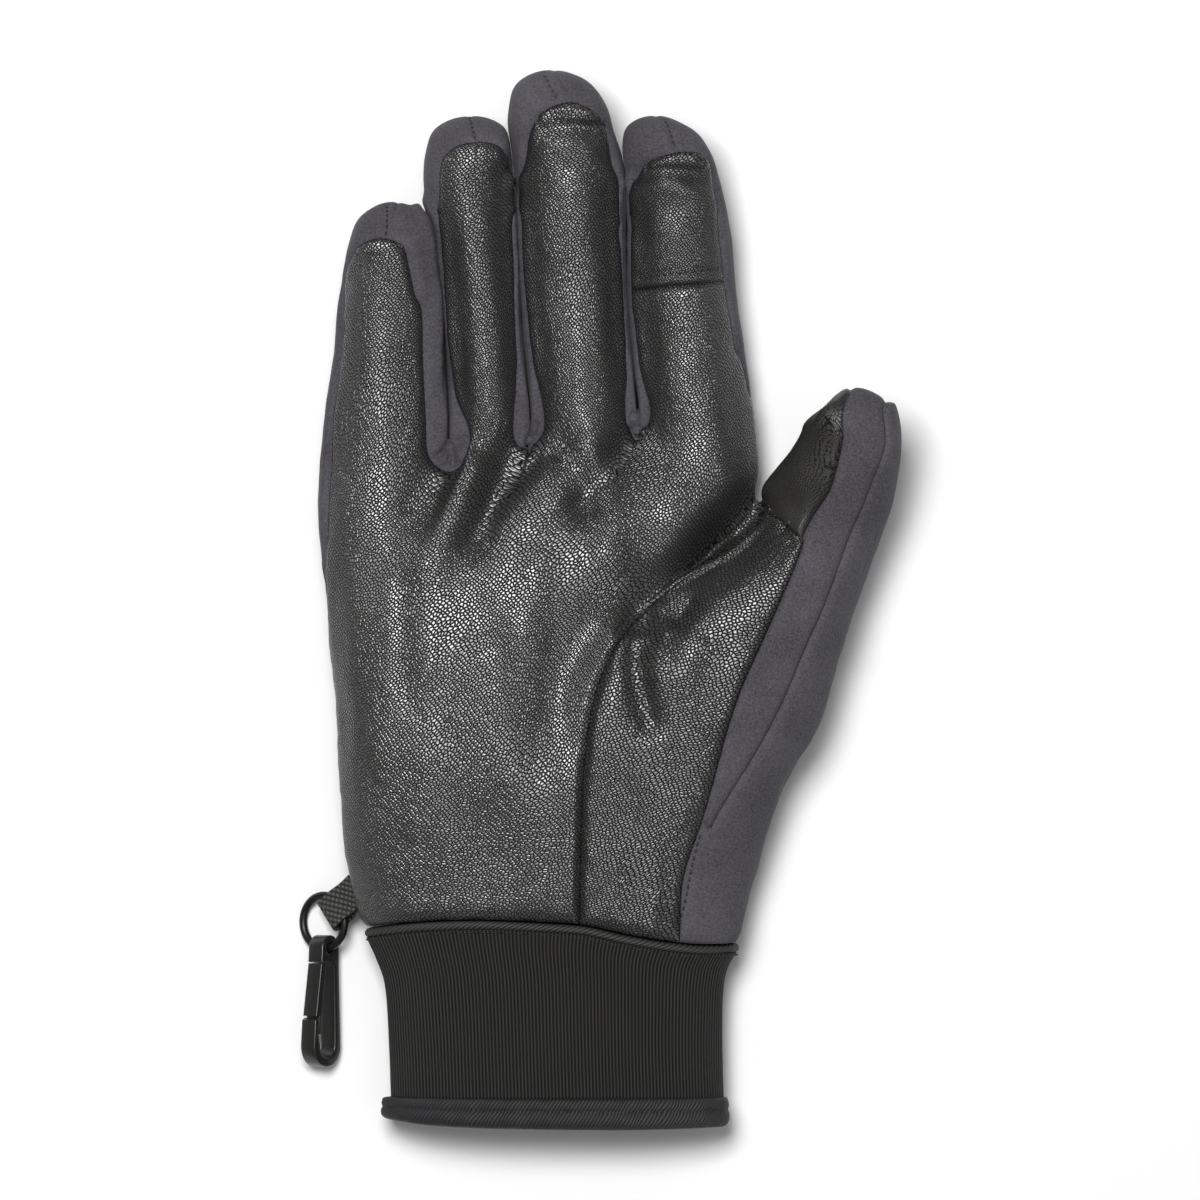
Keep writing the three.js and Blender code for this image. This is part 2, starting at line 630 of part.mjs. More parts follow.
// Give each station of a digit the piece that the side wall belongs to from there to the next one
function nameWall(digit, stations) {
  const turn = digit.rows.length - 1 + CAP_STEPS;
  const before = { little: 'back_shell', ring: 'fourchette_little_ring', middle: 'fourchette_ring_middle' };
  const after = { little: 'fourchette_little_ring', ring: 'fourchette_ring_middle' };
  before.index = 'fourchette_middle_index';
  after.middle = 'fourchette_middle_index';
  after.index = 'back_shell';
  stations.forEach((station, i) => {
    if (digit !== THUMB) {
      station.piece = i < turn + 2 ? before[digit.name] : after[digit.name];
      return;
    }
    if (i < turn + LEATHER_COLUMNS) {
      station.piece = 'thumb_touch_patch';
    } else {
      station.piece = i < turn + LEATHER_COLUMNS + STRIP_COLUMNS ? 'thumb_strip' : 'back_shell';
    }
  });
}

const SIDE_OUT = 0.5;

function wallStations(frontPoints) {
  const stations = [];
  const onSide = (line, row, xAt, zAt) => {
    const key = `hand ${line} ${row}`;
    const { y } = frontPoints.get(key);
    return { key, outline: point(xAt(y), y, zAt(y)), out: SIDE_OUT, low: y < EDGE_LEATHER_TOP };
  };
  for (let row = 0; row < PALM_ROWS; row += 1) {
    const station = onSide(0, row, leftSideAt, heightAt.side);
    station.piece = station.low ? 'edge' : 'back_shell';
    stations.push(station);
  }
  DIGITS.forEach((digit, i) => {
    const own = stationsOf(digit);
    nameWall(digit, own);
    if (i > 0) {
      const crotch = CROTCHES[i - 1];
      const slot = point(crotch.slotX, crotch.slotY, crotch.slotZ);
      const previous = stations[stations.length - 1];
      previous.outline.y = Math.max(previous.outline.y, slot.y + 1.4);
      own[0].outline.y = Math.max(own[0].outline.y, slot.y + 1.4);
      stations.push({
        key: `hand ${i * 6 - 1} ${PALM_ROWS}`,
        outline: slot,
        out: SIDE_OUT,
        piece: digit === THUMB ? 'thumb_leather' : previous.piece,
      });
    }
    stations.push(...own);
  });
  for (let row = PALM_ROWS - 1; row >= 0; row -= 1) {
    const station = onSide(LAST_LINE, row, rightSideAt, heightAt.thumbSide);
    station.piece = 'back_shell';
    stations.push(station);
  }
  return stations;
}

// The whole shell as one cage of four-sided faces, each named after its piece
function buildCage() {
  const front = sheetPoints(false);
  const back = sheetPoints(true);
  const points = [];
  const index = new Map();
  const add = (key, where) => {
    if (!index.has(key)) {
      index.set(key, points.length);
      points.push(where);
    }
    return index.get(key);
  };
  const quads = [];
  sheetQuads(front).forEach(({ keys, piece }) => {
    quads.push({ piece, corners: keys.map((key) => add(`front ${key}`, front.get(key))) });
    const under = keys.map((key) => add(`back ${key}`, back.get(key)));
    quads.push({ piece: 'back_shell', corners: under.reverse() });
  });
  const stations = wallStations(front);
  const half = SIDE_STEPS / 2;
  const rings = stations.map((station) => {
    const { key, outline, out } = station;
    const arc = (edge, turn, share) => {
      const angle = turn * (1 - share);
      const reach = (1 - Math.cos(angle)) / (1 - Math.cos(turn));
      const lift = Math.sin(angle) / Math.sin(turn);
      return point(
        lerp(outline.x, edge.x, reach),
        lerp(outline.y, edge.y, reach),
        lerp(outline.z, edge.z, lift),
      );
    };
    const ring = [add(`front ${key}`, front.get(key))];
    for (let k = 1; k < SIDE_STEPS; k += 1) {
      const where = k <= half
        ? arc(front.get(key), Math.acos(out), k / half)
        : arc(back.get(key), Math.acos(0.6), 2 - k / half);
      where.z = onRest(where.z);
      ring.push(add(`wall ${key} ${k}`, where));
    }
    ring.push(add(`back ${key}`, back.get(key)));
    return ring;
  });
  for (let i = 0; i < stations.length - 1; i += 1) {
    for (let k = 0; k < SIDE_STEPS; k += 1) {
      const corners = [rings[i][k], rings[i + 1][k], rings[i + 1][k + 1], rings[i][k + 1]];
      const edge = k < half ? 'palm_leather' : 'back_shell';
      quads.push({ piece: stations[i].piece === 'edge' ? edge : stations[i].piece, corners });
    }
  }
  return { points, quads };
}

function cageNormals({ points, quads }) {
  const normals = points.map(() => new THREE.Vector3());
  quads.forEach(({ corners }) => {
    const [a, b, c, d] = corners.map((corner) => points[corner]);
    const normal = c.clone().sub(a).cross(d.clone().sub(b));
    corners.forEach((corner) => normals[corner].add(normal));
  });
  normals.forEach((normal) => normal.normalize());
  return normals;
}

function solidGeometry(points, faces) {
  const geometry = new THREE.BufferGeometry();
  geometry.setAttribute('position', new THREE.Float32BufferAttribute(points.flatMap((p) => p.toArray()), 3));
  geometry.setIndex(faces.flat());
  geometry.computeVertexNormals();
  return geometry;
}

// One panel of the shell as a solid wall, drawn in at its edge so that it stays clear of its neighbours
function panel(cage, normals, piece, wall) {
  const own = cage.quads.filter((quad) => quad.piece === piece);
  const edges = new Map();
  own.forEach(({ corners }) => {
    corners.forEach((from, i) => {
      const to = corners[(i + 1) % 4];
      if (edges.has(`${to} ${from}`)) {
        edges.delete(`${to} ${from}`);
      } else {
        edges.set(`${from} ${to}`, [from, to]);
      }
    });
  });
  const shifts = new Map();
  edges.forEach(([from, to]) => {
    const along = cage.points[to].clone().sub(cage.points[from]);
    [from, to].forEach((corner) => {
      const inward = normals[corner].clone().cross(along).normalize();
      shifts.set(corner, (shifts.get(corner) || new THREE.Vector3()).add(inward));
    });
  });
  const used = [...new Set(own.flatMap(({ corners }) => corners))];
  const slot = new Map(used.map((corner, i) => [corner, i]));
  const outer = used.map((corner) => {
    const where = cage.points[corner].clone();
    if (shifts.has(corner)) {
      const shift = shifts.get(corner);
      const size = Math.max(shift.length() / 2, 0.5);
      where.addScaledVector(shift.clone().normalize(), SEAM_GAP / 2 / size);
    }
    return where;
  });
  const inner = outer.map((where, i) => where.clone().addScaledVector(normals[used[i]], -wall));
  const count = used.length;
  const faces = [];
  own.forEach(({ corners }) => {
    const [a, b, c, d] = corners.map((corner) => slot.get(corner));
    faces.push([a, b, c], [a, c, d]);
    faces.push([count + a, count + c, count + b], [count + a, count + d, count + c]);
  });
  edges.forEach(([from, to]) => {
    const [a, b] = [slot.get(from), slot.get(to)];
    if (from < to) {
      faces.push([b, a, count + a], [b, count + a, count + b]);
    } else {
      faces.push([a, count + a, count + b], [a, count + b, b]);
    }
  });
  return solidGeometry([...outer, ...inner], faces);
}

// A loop round the wrist: flat where it lies on its back
function wristLoop(left, right, top, yAt, inset) {
  const loop = [];
  for (let i = 0; i < CUFF_COLUMNS; i += 1) {
    const angle = (2 * Math.PI * i) / CUFF_COLUMNS;
    const shape = (value) => Math.sign(value) * Math.abs(value) ** (2 / CUFF_POWER);
    const reach = (right - left) / 2 - inset;
    const rise = (top + BACK_SINK) / 2 - inset;
    const x = (left + right) / 2 + reach * shape(Math.cos(angle));
    const z = (top - BACK_SINK) / 2 + rise * shape(Math.sin(angle));
    loop.push(point(x, yAt(clamp(x, left, right)), Math.max(z, REST_LEVEL + Math.max(inset, 0))));
  }
  return loop;
}

// A closed tube wall between loops that run down the outside and back up the inside
function closedWall(loops) {
  const points = loops.flat();
  const faces = [];
  const columns = loops[0].length;
  loops.forEach((_, level) => {
    const next = (level + 1) % loops.length;
    for (let i = 0; i < columns; i += 1) {
      const beside = (i + 1) % columns;
      const [a, b] = [level * columns + i, level * columns + beside];
      const [c, d] = [next * columns + beside, next * columns + i];
      faces.push([a, b, c], [a, c, d]);
    }
  });
  return solidGeometry(points, faces);
}

const cuffTopAt = (x) => cuffLineAt(x) - BAND_WIDTH - 2 * SEAM_GAP;

function knitCuff() {
  const leftAt = track(CUFF, 'step', 'left');
  const rightAt = track(CUFF, 'step', 'right');
  const topAt = track(CUFF, 'step', 'top');
  const level = (step, inset) => (
    wristLoop(leftAt(step), rightAt(step), topAt(step), (x) => lerp(cuffTopAt(x), HEM_TOP, step), inset)
  );
  const steps = evenly(CUFF_ROWS).map((step) => step ** 1.3);
  const outside = steps.map((step) => level(step, 0));
  const inside = steps.map((step) => level(step, KNIT_WALL)).reverse();
  return closedWall([...outside, ...inside]);
}

// The padded piping between the glove and its cuff
function seamBand() {
  const { left, right, top } = CUFF[0];
  const level = (down, inset) => (
    wristLoop(left, right, top, (x) => cuffLineAt(x) - SEAM_GAP - down * BAND_WIDTH, inset)
  );
  return closedWall([
    level(0, 0), level(0.5, -BAND_PROUD), level(1, 0),
    level(1, BAND_WALL - BAND_PROUD), level(0, BAND_WALL - BAND_PROUD),
  ]);
}

// The rolled binding at the cuff's mouth
function rolledHem() {
  const top = HEM_TOP - SEAM_GAP;
  const mouthAt = track(HEM_LINE, 'x', 'y');
  const level = (down, inset) => (
    wristLoop(HEM_LEFT, HEM_RIGHT, HEM_HEIGHT, (x) => lerp(top, mouthAt(x), down), inset)
  );
  return closedWall([
    level(0, 0.7), level(0.2, 0), level(0.78, 0), level(1, 1),
    level(1, HEM_WALL - 0.8), level(0.78, HEM_WALL), level(0, HEM_WALL),
  ]);
}

// Axes of the ring and hook: both turned about the glove's length
const turn = THREE.MathUtils.degToRad(HOOK_TURN);
const hookDepthAxis = new THREE.Vector3(Math.sin(turn), 0, Math.cos(turn));

// The folded webbing, seen along its width: s runs from the glove to the fold, which holds the ring's wire
function webbingGeometry() {
  const where = THREE.MathUtils.degToRad(LOOP_ON_RING);
  const outward = hookDepthAxis.clone().multiplyScalar(Math.cos(where));
  outward.y = Math.sin(where);
  const tangent = hookDepthAxis.clone().multiplyScalar(-Math.sin(where));
  tangent.y = Math.cos(where);
  const wire = RING_CENTRE.clone().addScaledVector(outward, RING_RADIUS);
  const layers = WEBBING_LAYER * 1.1;
  const room = RING_WIRE + WEBBING_CLEARANCE;
  const bulge = room + WEBBING_LAYER;
  const holeStart = LOOP_REACH - room;
  const holeEnd = LOOP_REACH + ringSag() + LOOP_SLACK;
  const profile = new THREE.Shape();
  profile.moveTo(0, -layers);
  profile.lineTo(holeStart - 1.2, -layers);
  profile.lineTo(LOOP_REACH, -bulge);
  profile.lineTo(holeEnd, -bulge);
  profile.absarc(holeEnd, 0, bulge, -Math.PI / 2, Math.PI / 2, false);
  profile.lineTo(LOOP_REACH, bulge);
  profile.lineTo(holeStart - 1.2, layers);
  profile.lineTo(0, layers);
  profile.closePath();
  const hole = new THREE.Path();
  hole.absarc(LOOP_REACH, 0, room, -Math.PI / 2, Math.PI / 2, true);
  hole.lineTo(holeEnd, room);
  hole.absarc(holeEnd, 0, room, Math.PI / 2, -Math.PI / 2, true);
  hole.closePath();
  profile.holes.push(hole);
  const settings = { depth: WEBBING_WIDTH, bevelEnabled: false, curveSegments: 6 };
  const geometry = new THREE.ExtrudeGeometry(profile, settings);
  geometry.translate(0, 0, -WEBBING_WIDTH / 2);
  const places = geometry.attributes.position;
  for (let i = 0; i < places.count; i += 1) {
    if (places.getX(i) < 0.001) {
      places.setX(i, -LOOP_SKEW * places.getZ(i));
    }
  }
  const inward = outward.clone().negate();
  const face = new THREE.Vector3().crossVectors(tangent, inward);
  geometry.applyMatrix4(new THREE.Matrix4().makeBasis(inward, face, tangent));
  const root = wire.addScaledVector(inward, -LOOP_REACH);
  geometry.translate(root.x, root.y, root.z);
  return geometry;
}

// How far the ring's curve strays from a straight line across the webbing
function ringSag() {
  const half = WEBBING_WIDTH / 2;
  return RING_RADIUS - Math.sqrt(RING_RADIUS ** 2 - half ** 2);
}

// The hook's outline in its own plane: across it and down it from the eye's middle
const HOOK_LENGTH = 28.1;
const HOOK_END_RADIUS = 5;
const HOOK_HEAD_RADIUS = 3.2;
const HOOK_PIVOT = { across: -1.6, down: 3.75 };
const HOOK_GAP_TOP = 4.1;
const HOOK_NOSE = 16.6;
const GATE_TONGUE = 20.4;

function hookBodyShape() {
  const low = HOOK_LENGTH - HOOK_END_RADIUS;
  const inside = HOOK_END_RADIUS - HOOK_WALL;
  const shape = new THREE.Shape();
  shape.absarc(0, 0, HOOK_HEAD_RADIUS, Math.PI * 0.94, 0, true);
  shape.lineTo(3.4, -HOOK_GAP_TOP);
  shape.lineTo(HOOK_END_RADIUS, -low + 2);
  shape.absarc(0, -low, HOOK_END_RADIUS, 0, -Math.PI, true);
  shape.lineTo(-HOOK_END_RADIUS + 0.2, -HOOK_NOSE - 0.4);
  shape.lineTo(-HOOK_END_RADIUS + 0.9, -HOOK_NOSE);
  shape.lineTo(-HOOK_END_RADIUS + 1.5, -HOOK_NOSE);
  shape.lineTo(-inside - 0.9, -low + 3);
  shape.absarc(0, -low, inside, -Math.PI, 0, false);
  shape.lineTo(inside, -low + 2);
  shape.lineTo(1.5, -HOOK_GAP_TOP);
  shape.lineTo(0.4, -HOOK_GAP_TOP + 0.8);
  shape.lineTo(-HOOK_HEAD_RADIUS, -HOOK_GAP_TOP + 0.8);
  shape.closePath();
  const eye = new THREE.Path();
  eye.absarc(0, 0, HOOK_EYE, 0, Math.PI * 2, false);
  shape.holes.push(eye);
  return shape;
}

// The springy gate: an arm from the head down to a tongue that tucks inside the nose
function hookGateShape() {
  const top = HOOK_GAP_TOP - 0.8 + HOOK_CLEARANCE;
  const shape = new THREE.Shape();
  shape.moveTo(-HOOK_HEAD_RADIUS, -top);
  shape.lineTo(-1.3, -top);
  shape.lineTo(-2.5, -HOOK_NOSE + 0.6);
  shape.lineTo(-2.1, -GATE_TONGUE);
  shape.lineTo(-2.9, -GATE_TONGUE);
  shape.lineTo(-3.2, -HOOK_NOSE - HOOK_CLEARANCE);
  shape.lineTo(-3.2, -HOOK_NOSE + HOOK_CLEARANCE + 0.2);
  shape.lineTo(-HOOK_END_RADIUS + 0.45, -HOOK_NOSE + HOOK_CLEARANCE + 0.2);
  shape.closePath();
  return shape;
}

const hookGroup = new THREE.Group();
const ringFoot = RING_CENTRE.clone().add(new THREE.Vector3(0, -RING_RADIUS, 0));
const hookDown = HOOK_TIP.clone().sub(ringFoot).normalize();
const hookAcross = new THREE.Vector3().crossVectors(hookDepthAxis, hookDown).normalize();
const hookFace = new THREE.Vector3().crossVectors(hookDown, hookAcross);
hookGroup.applyMatrix4(new THREE.Matrix4().makeBasis(hookAcross, hookDown.clone().negate(), hookFace));
hookGroup.position.copy(ringFoot);

function hookPiece(shape) {
  const settings = { depth: HOOK_DEPTH, bevelEnabled: false, curveSegments: 10 };
  const geometry = new THREE.ExtrudeGeometry(shape, settings);
  geometry.translate(0, 0, -HOOK_DEPTH / 2);
  return geometry;
}

function ringGeometry() {
  const geometry = new THREE.TorusGeometry(RING_RADIUS, RING_WIRE, 6, 28);
  geometry.rotateY(turn - Math.PI / 2);
  geometry.translate(RING_CENTRE.x, RING_CENTRE.y, RING_CENTRE.z);
  return geometry;
}

const FINISHES = {
  leather: { color: 0x3b3a39, roughness: 0.5, metalness: 0 },
  patch: { color: 0x333231, roughness: 0.55, metalness: 0 },
  softshell: { color: 0x4a484d, roughness: 0.9, metalness: 0 },
  knit: { color: 0x343332, roughness: 0.85, metalness: 0 },
  binding: { color: 0x2a2929, roughness: 0.75, metalness: 0 },
  webbing: { color: 0x2b2a28, roughness: 0.9, metalness: 0 },
  blackMetal: { color: 0x2a2a2a, roughness: 0.4, metalness: 0.9 },
  plastic: { color: 0x2c2b29, roughness: 0.5, metalness: 0 },
};

function piece(name, geometry, finish) {
  const mesh = new THREE.Mesh(geometry, new THREE.MeshStandardMaterial(FINISHES[finish]));
  mesh.name = name;
  return mesh;
}

const PANELS = [
  ['palm_leather', LEATHER_WALL, 'leather'],
  ['index_touch_patch', LEATHER_WALL, 'patch'],
  ['thumb_leather', LEATHER_WALL, 'leather'],
  ['thumb_touch_patch', LEATHER_WALL, 'patch'],
  ['thumb_strip', SOFTSHELL_WALL, 'softshell'],
  ['fourchette_little_ring', SOFTSHELL_WALL, 'softshell'],
  ['fourchette_ring_middle', SOFTSHELL_WALL, 'softshell'],
  ['fourchette_middle_index', SOFTSHELL_WALL, 'softshell'],
  ['back_shell', SOFTSHELL_WALL, 'softshell'],
];

const cage = buildCage();
const normals = cageNormals(cage);
const glove = new THREE.Group();
PANELS.forEach(([name, wall, finish]) => {
  glove.add(piece(name, panel(cage, normals, name, wall), finish));
});
glove.add(piece('cuff_seam_band', seamBand(), 'binding'));
glove.add(piece('cuff', knitCuff(), 'knit'));
glove.add(piece('cuff_hem', rolledHem(), 'binding'));
glove.add(piece('webbing_loop', webbingGeometry(), 'webbing'));
glove.add(piece('ring', ringGeometry(), 'blackMetal'));
hookGroup.add(piece('hook_body', hookPiece(hookBodyShape()), 'plastic'));
const gateGeometry = hookPiece(hookGateShape()).translate(-HOOK_PIVOT.across, HOOK_PIVOT.down, 0);
const gate = piece('hook_gate', gateGeometry, 'plastic');
gate.position.set(HOOK_PIVOT.across, -HOOK_PIVOT.down, 0);
hookGroup.add(gate);
glove.add(hookGroup);

export default glove;
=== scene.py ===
import logging
import math
from collections.abc import Callable, Sequence
from dataclasses import dataclass, field
from enum import Enum

import bpy
import numpy as np
from mathutils import Matrix, Vector, kdtree, noise
from mathutils.bvhtree import BVHTree


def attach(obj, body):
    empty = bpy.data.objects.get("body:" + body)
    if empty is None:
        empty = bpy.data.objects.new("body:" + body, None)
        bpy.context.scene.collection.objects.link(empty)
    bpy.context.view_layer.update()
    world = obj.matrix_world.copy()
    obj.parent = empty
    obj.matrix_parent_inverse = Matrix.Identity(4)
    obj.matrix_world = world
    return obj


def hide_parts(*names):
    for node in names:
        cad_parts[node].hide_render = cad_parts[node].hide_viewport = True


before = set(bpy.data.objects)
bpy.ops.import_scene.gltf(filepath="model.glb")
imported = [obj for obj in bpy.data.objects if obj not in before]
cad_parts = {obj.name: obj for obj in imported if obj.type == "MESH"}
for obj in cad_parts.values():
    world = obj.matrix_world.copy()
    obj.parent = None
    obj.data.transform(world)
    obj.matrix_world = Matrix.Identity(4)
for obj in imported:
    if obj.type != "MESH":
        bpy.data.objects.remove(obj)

# A right-hand softshell glove with a leather palm, lying palm up on its back.
# Sizes are in millimetres, and places are in the frame's axes: fingers towards +Y, thumb towards +X, up +Z.
MM = 0.001
REST_LEVEL = 0.0
ABOVE_ALL = 90.0
DOWN = Vector((0, 0, -1))
GLOVE_BODY = "glove"
GATE_BODY = "gate"
Array = np.ndarray
Piece = bpy.types.Object
Material = bpy.types.Material
Tree = bpy.types.NodeTree
Socket = bpy.types.NodeSocket
Pair = tuple[float, float]
Pairs = Sequence[Pair]
Triple = tuple[float, float, float]
Table = Sequence[Sequence[float]]
log = logging.getLogger("glove")


def linear(colour: str) -> tuple[float, float, float, float]:
    """Turn an sRGB hex colour into linear light.

    Args:
        colour: a hash sign and six hex digits.

    Returns:
        Red, green, blue and full alpha.
    """
    parts = [int(colour[i:i + 2], 16) / 255 for i in (1, 3, 5)]
    red, green, blue = (p / 12.92 if p <= 0.04045 else ((p + 0.055) / 1.055) ** 2.4 for p in parts)
    return red, green, blue, 1.0


def lerp(start: float, end: float, share: float) -> float:
    """Return the value a share of the way from start to end."""
    return start + (end - start) * share


def ease(share: float) -> float:
    """Return a share from 0 to 1 with a soft start and end."""
    return share * share * (3 - 2 * share)


def ramp(values: Array, start: float, slope: float) -> Array:
    """Return a soft rise from 0 at a start to 1, at a slope."""
    return ease(np.clip((values - start) * slope, 0, 1))


def on_rest(height: float) -> float:
    """Return a height that isn't under the surface that the glove lies on."""
    return max(height, REST_LEVEL)


def place(x: float, y: float, z: float) -> Array:
    """Return a point as an array."""
    return np.array([x, y, z], dtype=float)


def unit(ways: Array) -> Array:
    """Return directions with a length of 1."""
    return ways / np.maximum(np.linalg.norm(ways, axis=-1, keepdims=True), 1e-9)


def far_along(line: Array) -> Array:
    """Return how far along a line each of its points lies."""
    return np.concatenate([[0], np.cumsum(np.linalg.norm(np.diff(line, axis=0), axis=1))])


def nearest(points: Array, targets: Array) -> tuple[Array, Array]:
    """Find the target nearest to each point.

    Args:
        points: rows of x, y and z.
        targets: rows of the same.

    Returns:
        How far the target is, and its number.
    """
    tree = kdtree.KDTree(len(targets))
    for i, where in enumerate(targets):
        tree.insert(Vector(where), i)
    tree.balance()
    found = [tree.find(Vector(where)) for where in points]
    return np.array([hit[2] for hit in found]), np.array([hit[1] for hit in found])


class Track:
    """A smooth line through rows of one size against another, which never overshoots a row."""

    def __init__(self, rows: Pairs) -> None:
        """Fit the line.

        Args:
            rows: pairs of a place and the size there, with the places rising.
        """
        self.at = np.array([row[0] for row in rows], dtype=float)
        self.size = np.array([row[1] for row in rows], dtype=float)
        steps = np.diff(self.size) / np.diff(self.at)
        before = np.concatenate([steps[:1], steps])
        after = np.concatenate([steps, steps[-1:]])
        total = np.where(before + after == 0, 1, before + after)
        self.bend = np.where(before * after > 0, 2 * before * after / total, 0)

    def __call__(self, where: float | Array) -> float | Array:
        """Return the size at a place, or at each place of an array."""
        where = np.clip(where, self.at[0], self.at[-1])
        i = np.clip(np.searchsorted(self.at, where), 1, len(self.at) - 1)
        span = self.at[i] - self.at[i - 1]
        t = (where - self.at[i - 1]) / span
        start = self.size[i - 1] * (1 + 2 * t) * (1 - t) ** 2
        end = self.size[i] * t * t * (3 - 2 * t)
        return start + end + span * (self.bend[i - 1] * t * (1 - t) ** 2 - self.bend[i] * t * t * (1 - t))


@dataclass(frozen=True)
class Section:
    """One section across a digit: its sides, the edges of its front, its middle height and half height."""

    y_left: float
    y_right: float
    side_left: float
    seam_left: float
    seam_right: float
    side_right: float
    mid: float
    half: float
    seam_one: float = 0.0
    seam_two: float = 0.0

    @property
    def centre(self) -> float:
        """Return the x of the middle."""
        return (self.side_left + self.side_right) / 2

    @property
    def reach(self) -> float:
        """Return half of the width."""
        return (self.side_right - self.side_left) / 2

    def y_at(self, x: float) -> float:
        """Return the y of the slanted section at an x."""
        return lerp(self.y_left, self.y_right, (x - self.side_left) / (2 * self.reach))

    def surface(self, x: float, back: bool) -> Array:
        """Return the point of the round surface at an x, on the front or the back."""
        out = min(abs(x - self.centre) / self.reach, 0.995)
        rise = self.half * math.sqrt(1 - out * out)
        return place(x, self.y_at(x), on_rest(self.mid - rise) if back else self.mid + rise)


@dataclass(frozen=True)
class Tip:
    """The end of a digit: the outline's end, the end of the front's edge, its rise and its roundness."""

    x: float
    y: float
    seam_x: float
    seam_y: float
    rise: float
    round_left: float
    round_right: float


FINGER_COLUMNS = 4
LEATHER_COLUMNS = 4
STRIP_COLUMNS = 2
SHELL_COLUMNS = 2
CAP_STEPS = 3
BACK_SHARE = 0.8


@dataclass
class Digit:
    """A finger or the thumb: sections up its shaft, and a rounded end carried on the last of them."""

    name: str
    sections: list[Section]
    tip: Tip
    thumb: bool = False

    @property
    def columns(self) -> int:
        """Return how many faces lie across the front."""
        return LEATHER_COLUMNS + STRIP_COLUMNS + SHELL_COLUMNS if self.thumb else FINGER_COLUMNS

    @property
    def last(self) -> Section:
        """Return the section that the rounded end starts from."""
        return self.sections[-1]

    @property
    def rows(self) -> int:
        """Return how many faces lie from the base to the tip."""
        return len(self.sections) - 1 + CAP_STEPS

    def lines(self, section: Section, back: bool) -> list[float]:
        """Return the x of each column line across a section.

        Args:
            section: the section.
            back: whether on the back.

        Returns:
            One x for each line, from left to right.
        """
        if back:
            shares = np.linspace(-1, 1, self.columns + 1)
            return [section.centre + section.reach * BACK_SHARE * share for share in shares]
        if not self.thumb:
            return list(np.linspace(section.seam_left, section.seam_right, self.columns + 1))
        leather = np.linspace(section.seam_left, section.seam_one, LEATHER_COLUMNS + 1)
        strip = np.linspace(section.seam_one, section.seam_two, STRIP_COLUMNS + 1)
        shell = np.linspace(section.seam_two, section.seam_right, SHELL_COLUMNS + 1)
        return [*leather, *strip[1:], *shell[1:]]

    def share(self, column: int, back: bool) -> float:
        """Return where a column line lies across the last section, from -1 to 1."""
        lines = self.lines(self.last, back)
        return 2 * (lines[column] - lines[0]) / (lines[-1] - lines[0]) - 1

    def carried(self, left: float, right: float, tip: Pair, u: float, up: float) -> Array:
        """Return a place on the rounded end, as a square pressed into a half disc.

        Args:
            left: x of the half disc's left end.
            right: x of its right end.
            tip: x and y of its top.
            u: share across, from -1 to 1.
            up: share up, from 0 to 1.

        Returns:
            The x and y.
        """
        last = self.last
        slope = (last.y_right - last.y_left) / (last.side_right - last.side_left)
        centre = np.array([(left + right) / 2, last.y_left + slope * ((left + right) / 2 - last.side_left)])
        across = np.array([right, last.y_left + slope * (right - last.side_left)]) - centre
        rounded = self.tip.round_left if u < 0 else self.tip.round_right
        a = u * math.sqrt(1 - rounded * up * up / 2)
        b = up * math.sqrt(1 - rounded * u * u / 2)
        return centre + across * a + (np.array(tip) - centre) * b

    def edge(self, u: float, up: float, back: bool) -> float:
        """Return how far out the sheet's edge lies in a direction, as a share of the outline."""
        if back:
            return BACK_SHARE
        last = self.last
        seam = last.seam_left if u < 0 else last.seam_right
        side = abs(seam - last.centre) / last.reach
        middle = last.y_at(last.centre)
        top = (self.tip.seam_y - middle) / (self.tip.y - middle)
        return lerp(side, top, math.atan2(up, abs(u)) / (math.pi / 2))

    def sheet(self, u: float, up: float, back: bool) -> Array:
        """Return the point of the rounded end's front or back sheet at a share across and up."""
        last = self.last
        if back:
            middle = last.y_at(last.centre)
            tip = (lerp(last.centre, self.tip.x, BACK_SHARE), lerp(middle, self.tip.y, BACK_SHARE))
            reach = last.reach * BACK_SHARE
            flat = self.carried(last.centre - reach, last.centre + reach, tip, u, up)
        else:
            flat = self.carried(last.seam_left, last.seam_right, (self.tip.seam_x, self.tip.seam_y), u, up)
        radius = min(1.0, math.sqrt(u * u + up * up - u * u * up * up))
        rise = last.half * math.sqrt(1 - (radius * self.edge(u, up, back)) ** 2)
        mid = last.mid + self.tip.rise * up
        return place(flat[0], flat[1], on_rest(mid - rise) if back else mid + rise)

    def outline(self, u: float, up: float) -> Array:
        """Return the point of the rounded end's outline at a share across and up."""
        flat = self.carried(self.last.side_left, self.last.side_right, (self.tip.x, self.tip.y), u, up)
        return place(flat[0], flat[1], self.last.mid + self.tip.rise * up)


@dataclass(frozen=True)
class Crotch:
    """The base of a gap between two digits: the low edge of its leather, and the end of its dark slot."""

    x: float
    y: float
    front: float
    back: float
    slot: Triple


